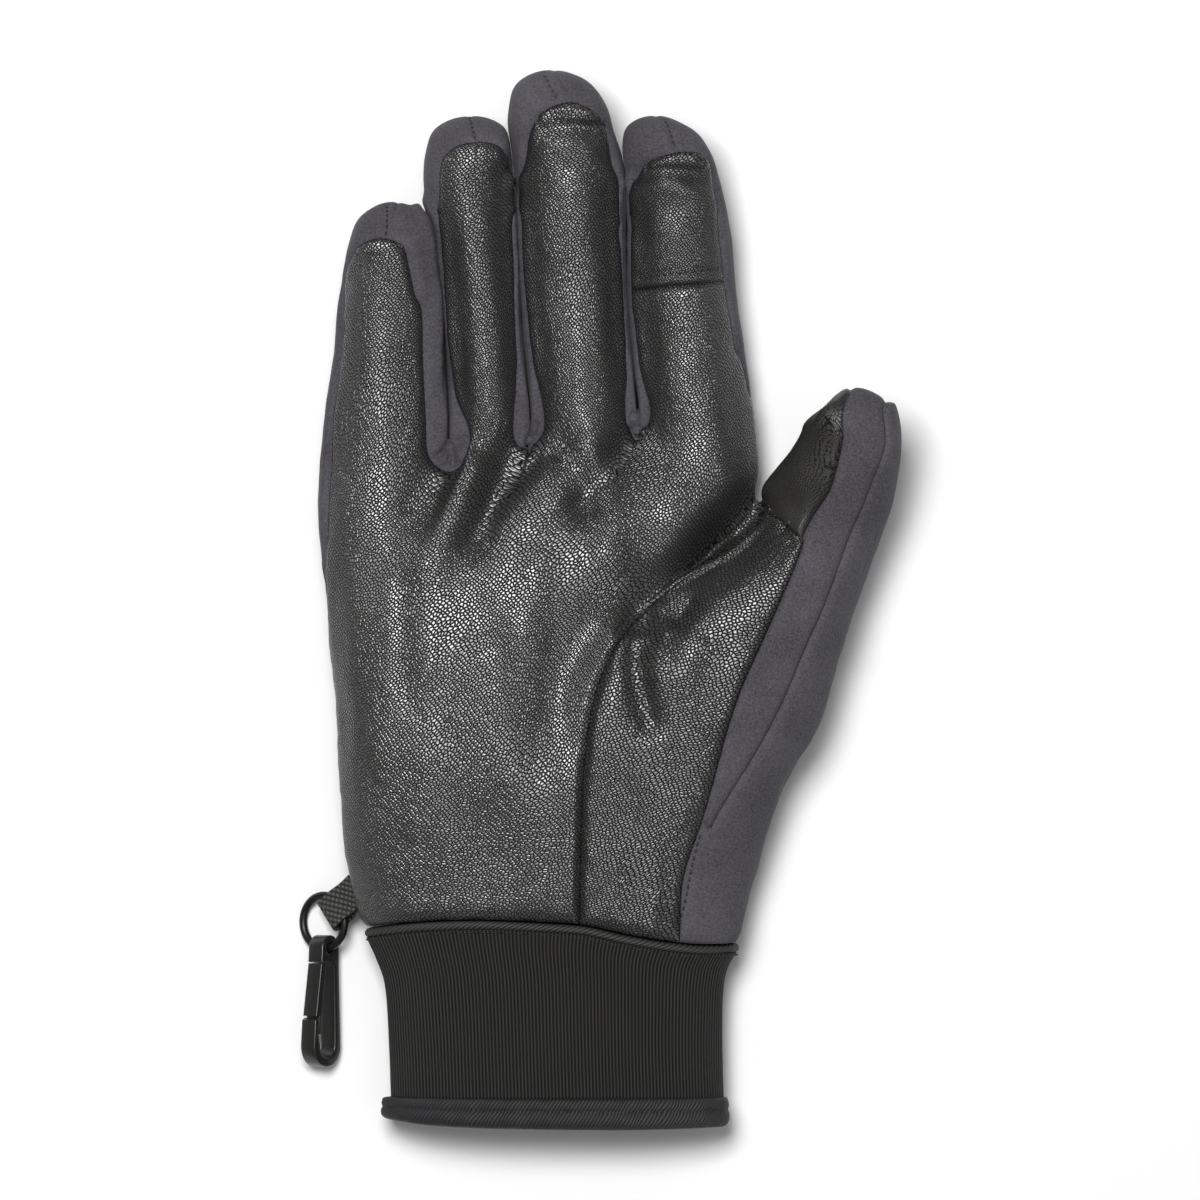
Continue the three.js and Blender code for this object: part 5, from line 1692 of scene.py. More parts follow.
@dataclass(frozen=True)
class PebbledLeather(Finish):
    """Chrome-tanned goatskin, drum dyed black: long slanting pebbles, shiny on top, with their creases
    coloured dark, partly their own tone and mostly painted shade.
    """

    # The tops' colour and the creases' colour: the dark creases are partly the hide's own tone, mostly
    # painted shade
    high: str = "#323130"
    low: str = "#090909"
    grain: float = 0.63
    stretch: float = 1.5
    slant: float = 40.0
    relief: float = 0.15
    roughness: float = 0.34
    coat_ior: float = 2.05
    specular: float = 0.15
    disorder: float = 0.72
    round: float = 0.3
    power: float = 0.4
    crease: float = 0.03
    top: float = 0.22
    lean: float = 0.4
    # How dark the pebbles that lean away are painted, as painted shade
    lean_shade: float = 0.75
    # How wide the hide's wanders are, and how far each one goes, in millimetres
    wanders: Pairs = ((38, 11.0), (3.2, 0.5))

    def fill(self, tree: Tree) -> None:
        """Add the grain's rows, the dome and lean of each pebble, the painted shade in its creases and on
        the pebbles that lean away, and the tanner's gloss on its top.
        """
        hide = drift = node(tree, "UVMap", {"uv_map": "hide"})
        # The hide is pulled this way and that over the hand, so the rows of grain bend with a wide wander
        for width, reach in self.wanders:
            pull = node(tree, "TexNoise", {"Scale": 1 / width, "Detail": 1.0}, "Color", Vector=hide)
            settings = {"operation": "MULTIPLY_ADD", 1: (reach,) * 3}
            drift = node(tree, "VectorMath", settings, in0=pull, in2=drift)
        turn = (0, 0, math.radians(self.slant))
        settings = {"vector_type": "TEXTURE", "Rotation": turn, "Scale": (self.stretch, 1.0, 1.0)}
        rows = node(tree, "Mapping", settings, Vector=drift)
        settings = {"voronoi_dimensions": "2D", "feature": "DISTANCE_TO_EDGE", "Randomness": self.disorder}
        edge = node(tree, "TexVoronoi", {**settings, "Scale": 1 / self.grain}, "Distance", Vector=rows)
        inward = node(tree, "MapRange", {"From Min": 0.0, "From Max": self.round}, Value=edge)
        dome = node(tree, "Math", {"operation": "POWER", 1: self.power}, in0=inward)
        # Each pebble leans its own way, so that some catch the light and others don't
        settings = {"noise_dimensions": "2D", "Scale": 1 / (1.9 * self.grain), "Detail": 1.0}
        lean = node(tree, "TexNoise", settings, Vector=rows)
        height = node(tree, "Math", {"operation": "MULTIPLY_ADD", 1: self.lean}, in0=lean, in2=dome)
        # The colour darkens from the pebble tops into the creases: partly the hide's own darker creases,
        # mostly painted shade
        settings = {"interpolation_type": "SMOOTHSTEP", "From Min": self.crease, "From Max": self.top}
        share = node(tree, "MapRange", settings, Value=edge)
        # The pebbles that lean away from the light are also coloured darker: painted shade
        lit = node(tree, "MapRange", {"From Min": 0.3, "From Max": 0.7, "To Min": self.lean_shade}, Value=lean)
        tone = node(tree, "Math", {"operation": "MULTIPLY"}, in0=share, in1=lit)
        normal = self.two_toned(tree, (self.low, self.high), tone, height, (1.0, self.relief))
        # The tanner's finish lies on the tops of the pebbles and leaves the creases without gloss
        set_shader(tree, Coat_Weight=share, Coat_Normal=normal, Coat_Roughness=self.roughness)
        set_shader(tree, Coat_IOR=self.coat_ior, Roughness=0.6, Specular_IOR_Level=self.specular)


@dataclass(frozen=True)
class Softshell(Finish):
    """Woven stretch polyester bonded to fleece: a dense matt face with a soft bloom at grazing angles."""

    colour: str = "#57555b"
    shade: str = "#333136"
    thread: float = 0.45
    cloud: float = 14

    def fill(self, tree: Tree) -> None:
        """Add the fine weave and the wide clouds of wear."""
        coords = node(tree, "TexCoord", {}, "Object")
        weave = node(tree, "TexNoise", {"Scale": per_mm(self.thread), "Detail": 2.0}, Vector=coords)
        wear = node(tree, "TexNoise", {"Scale": per_mm(self.cloud), "Detail": 4.0}, Vector=coords)
        mixed = node(tree, "Math", {"operation": "MULTIPLY_ADD", 1: 2.0}, in0=weave, in2=wear)
        share = node(tree, "MapRange", {"From Min": 1.0, "From Max": 2.0}, Value=mixed)
        self.two_toned(tree, (self.shade, self.colour), share, weave, (0.5, 0.08))
        set_shader(tree, Roughness=0.85, Specular_IOR_Level=0.3, Sheen_Weight=0.04)


@dataclass(frozen=True)
class RibKnit(Finish):
    """Warp-knitted stretch fabric: fine wales that run along the cuff and catch the light one by one."""

    colour: str = "#343331"
    # The colour in the grooves between the wales: painted shade
    gap: str = "#050505"
    wale: float = 0.9
    course: float = 0.6

    def fill(self, tree: Tree) -> None:
        """Add the wales, and the faint rows of loops across them, with painted shade in the grooves between
        the wales.
        """
        around = node(tree, "UVMap", {"uv_map": "around"})
        waves = []
        for i, width in enumerate((self.wale, self.course)):
            part = node(tree, "SeparateXYZ", {}, i, Vector=around)
            turns = node(tree, "Math", {"operation": "MULTIPLY", 1: 2 * math.pi / width}, in0=part)
            waves.append(node(tree, "Math", {"operation": "COSINE"}, in0=turns))
        height = node(tree, "Math", {"operation": "MULTIPLY_ADD", 1: 0.12}, in0=waves[1], in2=waves[0])
        # The colour darkens into the grooves, as painted shade
        share = node(tree, "MapRange", {"From Min": -0.9, "From Max": 0.9}, Value=height)
        self.two_toned(tree, (self.gap, self.colour), share, height, (0.8, 0.2))
        set_shader(tree, Roughness=0.8, Specular_IOR_Level=0.25)


@dataclass(frozen=True)
class Moulded(Finish):
    """A smooth hard finish, such as moulded acetal or coated steel, with a faint orange peel."""

    colour: str
    roughness: float
    metallic: float = 0.0
    peel: float = 0.5

    def fill(self, tree: Tree) -> None:
        """Add the orange peel."""
        coords = node(tree, "TexCoord", {}, "Object")
        skin = node(tree, "TexNoise", {"Scale": per_mm(self.peel), "Detail": 2.0}, Vector=coords)
        settings = {"To Min": self.roughness - 0.05, "To Max": self.roughness + 0.1}
        rough = node(tree, "MapRange", settings, Value=skin)
        normal = node(tree, "Bump", {"Strength": 0.2, "Distance": 0.03 * MM}, Height=skin)
        set_shader(tree, Roughness=rough, Normal=normal)
        set_shader(tree, Base_Color=linear(self.colour), Metallic=self.metallic)


@dataclass(frozen=True)
class Thread(Finish):
    """Bonded polyester sewing thread: two plies twisted together, with a faint shine."""

    colour: str = "#262524"
    shade: str = "#0d0c0c"
    ply: float = 0.5

    def fill(self, tree: Tree) -> None:
        """Add the plies, drawn twice as wide as they are, so that they show."""
        coords = node(tree, "TexCoord", {}, "Object")
        settings = {"wave_type": "BANDS", "bands_direction": "DIAGONAL", "Distortion": 1.0}
        plies = node(tree, "TexWave", {**settings, "Scale": per_mm(self.ply) / 20}, "Fac", Vector=coords)
        self.two_toned(tree, (self.shade, self.colour), plies, plies, (0.4, 0.05))
        set_shader(tree, Roughness=0.5)


@dataclass(frozen=True)
class CordedBinding(Finish):
    """Overlocked edge: yarns wrapped slantwise round the seam, so that it reads as a fine dark cord."""

    colour: str = "#323130"
    # The colour between the slanting yarns: painted shade
    gap: str = "#080808"
    yarn: float = 0.85
    slant: float = 50.0

    def fill(self, tree: Tree) -> None:
        """Add the slanting yarns, with painted shade between them."""
        around = node(tree, "UVMap", {"uv_map": "around"})
        turned = node(tree, "Mapping", {"Rotation": (0, 0, math.radians(self.slant))}, Vector=around)
        across = node(tree, "SeparateXYZ", {}, Vector=turned)
        turns = node(tree, "Math", {"operation": "MULTIPLY", 1: math.pi / self.yarn}, in0=across)
        wave = node(tree, "Math", {"operation": "SINE"}, in0=turns)
        height = node(tree, "Math", {"operation": "ABSOLUTE"}, in0=wave)
        # The colour darkens between the yarns, as painted shade
        self.two_toned(tree, (self.gap, self.colour), height, height, (0.8, 0.2))
        set_shader(tree, Roughness=0.65)


@dataclass(frozen=True)
class Webbing(Finish):
    """Woven polypropylene tape: fat round yarns that pass over and under each other."""

    yarn: str = "#4a4944"
    # The colour between the crossing yarns: painted shade
    gap: str = "#030303"
    across: float = 1.8
    along: float = 1.5

    def fill(self, tree: Tree) -> None:
        """Add the yarns, which cross at a slant, with painted shade between them."""
        around = node(tree, "UVMap", {"uv_map": "around"})
        ways = []
        for i, width in enumerate((self.across, self.along)):
            part = node(tree, "SeparateXYZ", {}, i, Vector=around)
            ways.append(node(tree, "Math", {"operation": "MULTIPLY", 1: math.pi / width}, in0=part))
        yarns = []
        for operation in ("ADD", "SUBTRACT"):
            turns = node(tree, "Math", {"operation": operation}, in0=ways[0], in1=ways[1])
            wave = node(tree, "Math", {"operation": "SINE"}, in0=turns)
            yarns.append(node(tree, "Math", {"operation": "ABSOLUTE"}, in0=wave))
        height = node(tree, "Math", {"operation": "MULTIPLY"}, in0=yarns[0], in1=yarns[1])
        # The colour darkens between the yarns, as painted shade
        share = node(tree, "MapRange", {"From Min": 0.1, "From Max": 0.9}, Value=height)
        self.two_toned(tree, (self.gap, self.yarn), share, height, (1.0, 0.28))
        set_shader(tree, Roughness=0.6)


@dataclass(frozen=True)
class PaleCard(Finish):
    """Matt card: an even pale floor that throws a soft light back up."""

    def fill(self, tree: Tree) -> None:
        """Set the card's colour and roughness."""
        set_shader(tree, Base_Color=linear("#f4f4f4"), Roughness=0.9)


@dataclass
class WristLoop:
    """A loop round the wrist: a rounded oblong that is flat where it lies on its back."""

    left: float
    right: float
    top: float
    power: float = 2.5
    sink: float = 1.8

    def around(self, columns: int, y_at: Callable[[Array], Array], inset: float) -> Array:
        """Return points evenly spaced round the loop.

        Args:
            columns: how many.
            y_at: the loop's y at each x.
            inset: how far it is drawn in.

        Returns:
            Rows of x, y and z.
        """
        angle = np.linspace(0, 2 * math.pi, 8 * columns + 1)
        middle_x, middle_z = (self.left + self.right) / 2, (self.top - self.sink) / 2
        wide, high = (self.right - self.left) / 2 - inset, (self.top + self.sink) / 2 - inset
        cos, sin = np.cos(angle), np.sin(angle)
        x = middle_x + wide * np.sign(cos) * np.abs(cos) ** (2 / self.power)
        z = middle_z + high * np.sign(sin) * np.abs(sin) ** (2 / self.power)
        z = np.maximum(z, REST_LEVEL + max(inset, 0))
        far = np.concatenate([[0], np.cumsum(np.hypot(np.diff(x), np.diff(z)))])
        stops = np.linspace(0, far[-1], columns + 1)[:-1]
        x, z = np.interp(stops, far, x), np.interp(stops, far, z)
        y = y_at(np.clip(x, self.left, self.right))
        return np.stack([x, y, z], axis=1)


def grid_faces(levels: int, rows: int, columns: int) -> list[tuple[int, ...]]:
    """Return the faces between rings of points.

    Args:
        levels: how many rings of faces.
        rows: how many rings of points, after which the first comes again.
        columns: how many points each ring has.

    Returns:
        Four point numbers for each face.
    """
    faces = []
    for i in range(levels):
        here, below = i * columns, (i + 1) % rows * columns
        for k in range(columns):
            beside = (k + 1) % columns
            faces.append((here + k, here + beside, below + beside, below + k))
    return faces


def wall_object(name: str, loops: list[Array]) -> Piece:
    """Make a closed wall from loops that run down the outside and back up the inside.

    Args:
        name: the piece's name.
        loops: rows of points, as many in each.

    Returns:
        The object, whose map gives the way around and along, in millimetres.
    """
    grid = np.array(loops)
    levels, columns = grid.shape[:2]
    piece = mesh_object(name, grid.reshape(-1, 3), grid_faces(levels, levels, columns))
    ends = far_along(np.vstack([grid[0], grid[0, :1]]))
    rib = grid[:, columns // 4]
    downs = far_along(np.vstack([rib, rib[:1]]))
    level, i = np.divmod(np.arange(levels * columns), columns)
    corners = [(ends[i + a], downs[level + b]) for a, b in CORNERS]
    layer = piece.data.uv_layers.new(name="around")
    layer.data.foreach_set("uv", np.array(corners).transpose(2, 0, 1).astype(np.float32).ravel())
    return piece


@dataclass
class Cuff:
    """The knitted cuff with the piping at its top and the rolled binding at its mouth."""

    hand: HandForm
    knit: Material
    binding: Material
    cord: Material
    columns: int = 360
    rows: int = 44
    wall: float = 1.5
    hem_wall: float = 2.8
    gap: float = 0.3
    band_width: float = 2.0
    band_proud: float = 0.4
    hem_top: float = -118.2
    hem_gap: float = 0.4
    flat_level: float = 0.8
    knit_lumps: Table = ((0.3, 5.0, 4.0, 0.25), (0.35, 16, 5.0, 1))
    hem_lumps: Table = ((0.5, 2.8, 11.0, 0.4), (0.45, 9, 12.0, 1))
    channel: Pair = (0.43, 0.28)
    hem_left: float = -51.7
    hem_right: float = 30.5
    hem_height: float = 26.4
    # Share of the way down, left side, right side and top of the cuff
    shape: Table = (
        (0, -55.4, 32.6, 26.6),
        (0.12, -53.3, 30.3, 26.2),
        (0.3, -51.3, 29.3, 25.8),
        (0.65, -50.1, 28.9, 25.6),
        (1, -49.5, 29.2, 25.6),
    )
    mouth: Pairs = ((-51.8, -122.8), (-38, -124.5), (-22, -125.1), (5, -125.4), (30.5, -124.8))

    def knitted(self) -> Piece:
        """Make the knitted tube."""
        left, right, top = (Track([(row[0], row[i]) for row in self.shape]) for i in (1, 2, 3))
        start = self.band_width + 1.2 * self.gap

        def level(step: float, inset: float) -> Array:
            """Return one loop of the tube, a share of the way down."""
            loop = WristLoop(float(left(step)), float(right(step)), float(top(step)))
            return loop.around(
                self.columns, lambda x: lerp(self.hand.cuff_at(x) - start, self.hem_top, step), inset,
            )

        steps = np.linspace(0, 1, self.rows)
        grid = np.array([level(step, 0) for step in steps])
        normals = self.outward(grid)
        flat = grid.reshape(-1, 3)
        above = ramp(flat[:, 2], self.flat_level, SETTLE)
        pull = uneven(flat, self.knit_lumps) * above
        grid = (flat + normals.reshape(-1, 3) * pull[:, None]).reshape(grid.shape)
        inside = [level(step, self.wall) for step in steps[::6]][::-1]
        return wall_object("cuff", [*grid, *inside])

    @staticmethod
    def outward(grid: Array) -> Array:
        """Return the outward direction at each point of a tube of loops."""
        around = np.roll(grid, -1, axis=1) - np.roll(grid, 1, axis=1)
        along = np.gradient(grid, axis=0)
        normals = unit(np.cross(around, -along))
        centre = grid.mean(axis=1, keepdims=True)
        sign = np.sign(np.sum(normals * (grid - centre), axis=2).mean())
        return normals * sign

    def piping(self) -> Piece:
        """Make the rolled piping between the shell and the cuff."""
        left, right, top = self.shape[0][1:]
        loop = WristLoop(left, right, top)
        half = self.band_width / 2 + 0.15
        loops = []
        for turn in np.linspace(0, 2 * math.pi, 14, endpoint=False):
            down = half * (1 - math.cos(turn))
            inset = 1.0 - (1.0 + self.band_proud) * math.sin(turn)
            loops.append(loop.around(
                self.columns, lambda x, down=down: self.hand.cuff_at(x) - self.gap / 2 - down, inset,
            ))
        return wall_object("cuff_seam_band", loops)

    def hem_line(self, down: float, inset: float) -> Array:
        """Return a line round the hem, a share of the way down it."""
        start, mouth_at = self.hem_top + self.hem_gap, Track(self.mouth)
        loop = WristLoop(self.hem_left, self.hem_right, self.hem_height)
        return loop.around(self.columns, lambda x: lerp(start, mouth_at(x), down), inset)

    def hem(self) -> Piece:
        """Make the rolled binding at the cuff's mouth."""
        profile = (
            (0.0, 1.2), (0.03, 0.45), (0.1, 0.1), (0.2, 0.0), (0.3, -0.05), (0.38, 0.12), self.channel,
            (0.48, 0.12), (0.56, -0.08), (0.68, -0.1), (0.8, 0.0), (0.9, 0.3), (0.97, 0.8), (1.0, 1.4),
            (0.97, 2.2), (0.9, 2.7), (0.6, self.hem_wall), (0.2, self.hem_wall), (0.0, self.hem_wall - 0.3),
        )
        loops = []
        for down, inset in profile:
            line = self.hem_line(down, inset)
            out = unit((line - line.mean(axis=0)) * (1, 0, 1))
            gathers = uneven(line, self.hem_lumps) * ramp(line[:, 2], 0, SETTLE)
            line += out * gathers[:, None]
            loops.append(line)
        return wall_object("cuff_hem", loops)

    def stitch_loops(self) -> list[Array]:
        """Return the lines of stitches: just below the piping, and in the hem's channel."""
        left, right, top = self.shape[0][1:]
        below = self.band_width + 3.2 * self.gap
        upper = WristLoop(left + 0.1, right - 0.1, top - 0.05).around(
            self.columns, lambda x: self.hand.cuff_at(x) - below, 0.0,
        )
        return [upper, self.hem_line(*self.channel)]

    def build(self) -> None:
        """Make, dress and fasten the cuff's pieces."""
        fasten(self.knitted(), self.knit, "cuff")
        fasten(self.piping(), self.cord, "cuff_seam_band")
        fasten(self.hem(), self.binding, "cuff_hem")


@dataclass
class Stitching:
    """Lockstitching: short plump threads in a line, each of which dips into its two holes."""

    thread: Material
    pitch: float = 1.75
    length: float = 1.3
    width: float = 0.5
    cuff_pitch: float = 1.3
    cuff_share: float = 0.72

    def one_stitch(self) -> tuple[Array, list[list[int]]]:
        """Model one stitch, lying along x with its ends bent down.

        Returns:
            Its points, in stitch lengths and widths, and its faces.
        """
        bpy.ops.object.select_all(action="DESELECT")
        bpy.ops.mesh.primitive_uv_sphere_add(segments=6, ring_count=6, radius=0.5, location=(0, 0, 0))
        piece = bpy.context.active_object
        points = np.array([vertex.co[:] for vertex in piece.data.vertices])[:, (2, 0, 1)]
        points[:, 0] = 0.5 * np.sign(points[:, 0]) * np.abs(2 * points[:, 0]) ** 0.7
        points[:, 2] += 0.3 - 2.6 * points[:, 0] ** 2
        rings = [list(face.vertices) for face in piece.data.polygons]
        bpy.data.objects.remove(piece)
        # Blender lists a sphere's faces in another order each run, so here they are sorted
        starts = [ring.index(min(ring)) for ring in rings]
        faces = sorted(ring[start:] + ring[:start] for ring, start in zip(rings, starts))
        return points, faces

    def along(self, line: Array, facing: Array, pitch: float) -> Array:
        """Place a stitch at every step of a line.

        Args:
            line: points on the cloth.
            facing: the way that the cloth faces at each.
            pitch: from one stitch to the next.

        Returns:
            For each stitch, its middle, and its long, cross and outward directions.
        """
        far = far_along(line)
        stops = np.arange(0.5 * pitch, far[-1], pitch)

        def at(stops: Array, rows: Array) -> Array:
            """Return rows between the line's own, at each stop."""
            return np.stack([np.interp(stops, far, column) for column in rows.T], axis=1)

        middle, ahead, behind = (at(stops + share * pitch, line) for share in (0, 0.4, -0.4))
        out = at(stops, facing)
        way = unit(ahead - behind)
        cross = unit(np.cross(out, way))
        return np.stack([middle, way, cross, np.cross(way, cross)], axis=1)

    def sew(self, name: str, places: Array, share: float) -> None:
        """Copy the stitch to each of its places.

        Args:
            name: the piece's name.
            places: the rows that along gives.
            share: the stitches' size against the full one.
        """
        points, faces = self.one_stitch()
        size = np.array([self.length, self.width, self.width]) * share
        moved = places[:, None, 0] + np.einsum("pk,skj->spj", points * size, places[:, 1:])
        moved[..., 2] = np.maximum(moved[..., 2], REST_LEVEL + 0.02)
        count = len(points)
        every = [[i * count + corner for corner in face] for i in range(len(places)) for face in faces]
        piece = mesh_object(name, moved.reshape(-1, 3), every)
        fasten(piece, self.thread)

    def on_panels(self, panels: list[Piece]) -> None:
        """Sew the lines across the glove's panels."""
        points: list[Vector] = []
        faces: list[list[int]] = []
        for panel in panels:
            faces += [[len(points) + corner for corner in face.vertices] for face in panel.data.polygons]
            points += [vertex.co / MM for vertex in panel.data.vertices]
        cloth = BVHTree.FromPolygons(points, faces)
        lines = [self.along(*dropped(smooth_line(line), cloth), self.pitch) for line in STITCH_LINES]
        self.sew("panel_stitches", np.concatenate(lines), 1.0)

    def round_wrist(self, loops: list[Array]) -> None:
        """Sew the lines round the cuff."""
        places = []
        for loop in loops:
            ahead = np.roll(loop, -1, axis=0) - np.roll(loop, 1, axis=0)
            facing = unit(np.cross(ahead, (0.0, 1.0, 0.0)))
            facing *= np.sign(np.sum(facing * (loop - loop.mean(axis=0)), axis=1).mean())
            closed = np.vstack([loop, loop[:1]])
            places.append(self.along(closed, np.vstack([facing, facing[:1]]), self.cuff_pitch))
        self.sew("cuff_stitches", np.concatenate(places), self.cuff_share)


Outline = list[Pair]


def arc_points(x: float, y: float, radius: float, start: float, end: float, steps: int) -> Outline:
    """Return points along an arc round x and y, from one angle in degrees to another, ends included."""
    angles = np.radians(np.linspace(start, end, steps + 1))
    return [(x + radius * math.cos(a), y + radius * math.sin(a)) for a in angles]


def bevelled_plate(name: str, outlines: list[Outline], depth: float, edge: float) -> Piece:
    """Make a plate with rounded edges from a flat curve.

    Args:
        name: the piece's name.
        outlines: the outer line and those of its holes, in millimetres.
        depth: the plate's depth.
        edge: how far its edges are rounded.

    Returns:
        The plate, with its middle at z = 0.
    """
    curve = bpy.data.curves.new(name, "CURVE")
    curve.dimensions = "2D"
    curve.fill_mode = "BOTH"
    curve.extrude = (depth / 2 - edge) * MM
    curve.bevel_depth = edge * MM
    curve.bevel_resolution = 3
    curve.offset = -edge * MM
    for outline in outlines:
        spline = curve.splines.new("POLY")
        spline.points.add(len(outline) - 1)
        for point, (x, y) in zip(spline.points, outline):
            point.co = (x * MM, y * MM, 0, 1)
        spline.use_cyclic_u = True
    piece = bpy.data.objects.new(name, curve)
    bpy.context.scene.collection.objects.link(piece)
    use_object(piece)
    bpy.ops.object.convert(target="MESH")
    piece = bpy.context.active_object
    bpy.ops.object.mode_set(mode="EDIT")
    bpy.ops.mesh.select_all(action="SELECT")
    bpy.ops.mesh.remove_doubles(threshold=0.01 * MM)
    bpy.ops.mesh.normals_make_consistent(inside=False)
    bpy.ops.object.mode_set(mode="OBJECT")
    return piece


def settle(piece: Piece, matrix: Matrix) -> None:
    """Move a piece's mesh to its place, so that its object stays at the origin."""
    piece.data.transform(matrix)
    piece.data.update()
    use_object(piece)
    bpy.ops.object.shade_smooth_by_angle(angle=math.radians(40))


@dataclass
class CarryingLoop:
    """The webbing loop in the glove's side, its ring, and the moulded snap hook on the ring."""

    webbing_finish: Material
    ring_finish: Material
    hook_finish: Material
    ring_centre: Triple = (-65.6, -76.5, 5.0)
    ring_radius: float = 6.3
    wire: float = 0.95
    webbing_width: float = 8.0
    webbing_layer: float = 0.9
    clearance: float = 0.35
    loop_on_ring: float = 38.0
    loop_reach: float = 4.7
    loop_slack: float = 1.2
    loop_root: float = 2.2
    hook_tip: Triple = (-66.5, -110.9, 5.5)
    hook_turn: float = 52.0
    hook_depth: float = 4.4
    hook_wall: float = 2.3
    hook_length: float = 28.1
    end_radius: float = 5.0
    head_radius: float = 3.2
    eye: float = 1.45
    gap_top: float = 4.1
    nose: float = 16.6
    tongue: float = 20.4
    seam_clearance: float = 0.3
    edge: float = 0.38

    @property
    def depth_axis(self) -> Vector:
        """Return the direction of the hook's depth."""
        turn = math.radians(self.hook_turn)
        return Vector((math.sin(turn), 0, math.cos(turn)))

    def hook_frame(self) -> Matrix:
        """Return the matrix from the hook's own plane to its place."""
        foot = Vector(self.ring_centre) - Vector((0, self.ring_radius, 0))
        down = (Vector(self.hook_tip) - foot).normalized()
        across = self.depth_axis.cross(down).normalized()
        face = down.cross(across)
        turned = Matrix((across, -down, face)).transposed().to_4x4()
        return Matrix.Translation(foot * MM) @ turned

    def ring(self) -> Piece:
        """Make the wire ring, with the butt joint that lies under the webbing."""
        bpy.ops.object.select_all(action="DESELECT")
        bpy.ops.mesh.primitive_torus_add(
            major_segments=96, minor_segments=20,
            major_radius=self.ring_radius * MM, minor_radius=self.wire * MM, location=(0, 0, 0),
        )
        piece = bpy.context.active_object
        piece.name = "ring"
        joint = math.radians(self.loop_on_ring)
        for vertex in piece.data.vertices:
            angle = math.atan2(vertex.co.y, vertex.co.x)
            if abs(angle - joint) < math.radians(2.5):
                middle = Vector((math.cos(angle), math.sin(angle), 0)) * self.ring_radius * MM
                vertex.co = middle + (vertex.co - middle) * 0.86
        turned = Matrix.Rotation(math.radians(self.hook_turn - 90), 4, "Y")
        settle(piece, Matrix.Translation(Vector(self.ring_centre) * MM) @ turned)
        return piece

    def body_outline(self) -> Outline:
        """Return the hook's outline in its own plane: head, right wall, round end and nose."""
        low = self.hook_length - self.end_radius
        inside = self.end_radius - self.hook_wall
        return [
            *arc_points(0, 0, self.head_radius, 169, 0, 20),
            (3.35, -self.gap_top),
            *arc_points(0, -low, self.end_radius, 0, -180, 28),
            (-self.end_radius + 0.15, -self.nose - 0.5),
            (-self.end_radius + 0.8, -self.nose),
            (-self.end_radius + 1.5, -self.nose),
            (-inside - 0.9, -low + 3),
            *arc_points(0, -low, inside, -180, 0, 20),
            (inside - 0.1, -low + 4),
            (1.5, -self.gap_top),
            (0.4, -self.gap_top + 0.8),
            (-self.head_radius, -self.gap_top + 0.8),
        ]

    def gate_outline(self) -> Outline:
        """Return the springy gate's outline: an arm from the head down to a tongue inside the nose."""
        top = self.gap_top - 0.8 + self.seam_clearance
        break_line = -self.nose + self.seam_clearance
        return [
            (-self.head_radius, -top),
            (-1.3, -top),
            (-2.5, -self.nose + 0.6),
            (-2.1, -self.tongue),
            (-2.9, -self.tongue),
            (-3.2, break_line - 0.6),
            (-3.2, break_line + 0.2),
            (-self.end_radius + 0.45, break_line + 0.2),
        ]

    def hook(self) -> tuple[Piece, Piece]:
        """Make the hook's body and its gate."""
        matrix = self.hook_frame()
        eye = arc_points(0, 0, self.eye, 0, 345, 23)
        body = bevelled_plate("hook_body", [self.body_outline(), eye], self.hook_depth, self.edge)
        gate = bevelled_plate("hook_gate", [self.gate_outline()], self.hook_depth - 0.2, self.edge * 0.7)
        settle(body, matrix)
        settle(gate, matrix)
        return body, gate

    def webbing_path(self) -> Outline:
        """Return the tape's middle line in its own plane: out along one layer, round the wire and back."""
        half = self.webbing_layer / 2
        room = self.wire + self.clearance + half
        sag = self.ring_radius - math.sqrt(self.ring_radius ** 2 - (self.webbing_width / 2) ** 2)
        far = self.loop_reach + sag + self.loop_slack
        upper = [(-self.loop_root, half * 1.1), (0.4, half * 1.15), (1.6, half * 1.5)]
        upper += [(self.loop_reach - 1.0, room * 0.85), (self.loop_reach + 0.4, room)]
        bend = arc_points(far, 0, room, 90, -90, 14)
        lower = [(x, -y) for x, y in upper[::-1]]
        return [*upper, *bend, *lower]

    def webbing(self) -> Piece:
        """Make the folded tape with rounded selvedges, and its weave's own map."""
        line = np.array(self.webbing_path())
        ahead = np.gradient(line, axis=0)
        side = unit(np.stack([-ahead[:, 1], ahead[:, 0]], axis=1))
        half_wide, half_thick = self.webbing_width / 2, self.webbing_layer / 2
        rim = [(-1.0, 0.25), (-0.97, 0.8), (-0.9, 1.0), *[(u, 1.0) for u in np.linspace(-0.75, 0.75, 7)]]
        rim += [(0.9, 1.0), (0.97, 0.8), (1.0, 0.25)]
        rim += [(u, -v) for u, v in rim[::-1]]
        points, columns = [], len(rim)
        for i, middle in enumerate(line):
            for u, v in rim:
                flat = middle + side[i] * half_thick * v
                points.append((*flat, u * half_wide))
        faces = grid_faces(len(line) - 1, len(line), columns)
        faces.append(tuple(range(columns))[::-1])
        faces.append(tuple(range((len(line) - 1) * columns, len(line) * columns)))
        piece = mesh_object("webbing_loop", np.array(points), faces)
        far = far_along(line)
        layer = piece.data.uv_layers.new(name="around")
        for loop in piece.data.loops:
            i, k = divmod(loop.vertex_index, columns)
            layer.data[loop.index].uv = (rim[k][0] * half_wide, far[i])
        where = math.radians(self.loop_on_ring)
        lift = Vector((0, 1, 0))
        outward = self.depth_axis * math.cos(where) + lift * math.sin(where)
        tangent = -self.depth_axis * math.sin(where) + lift * math.cos(where)
        wire = Vector(self.ring_centre) + outward * self.ring_radius
        root = wire + outward * self.loop_reach
        turned = Matrix((-outward, tangent.cross(-outward), tangent)).transposed().to_4x4()
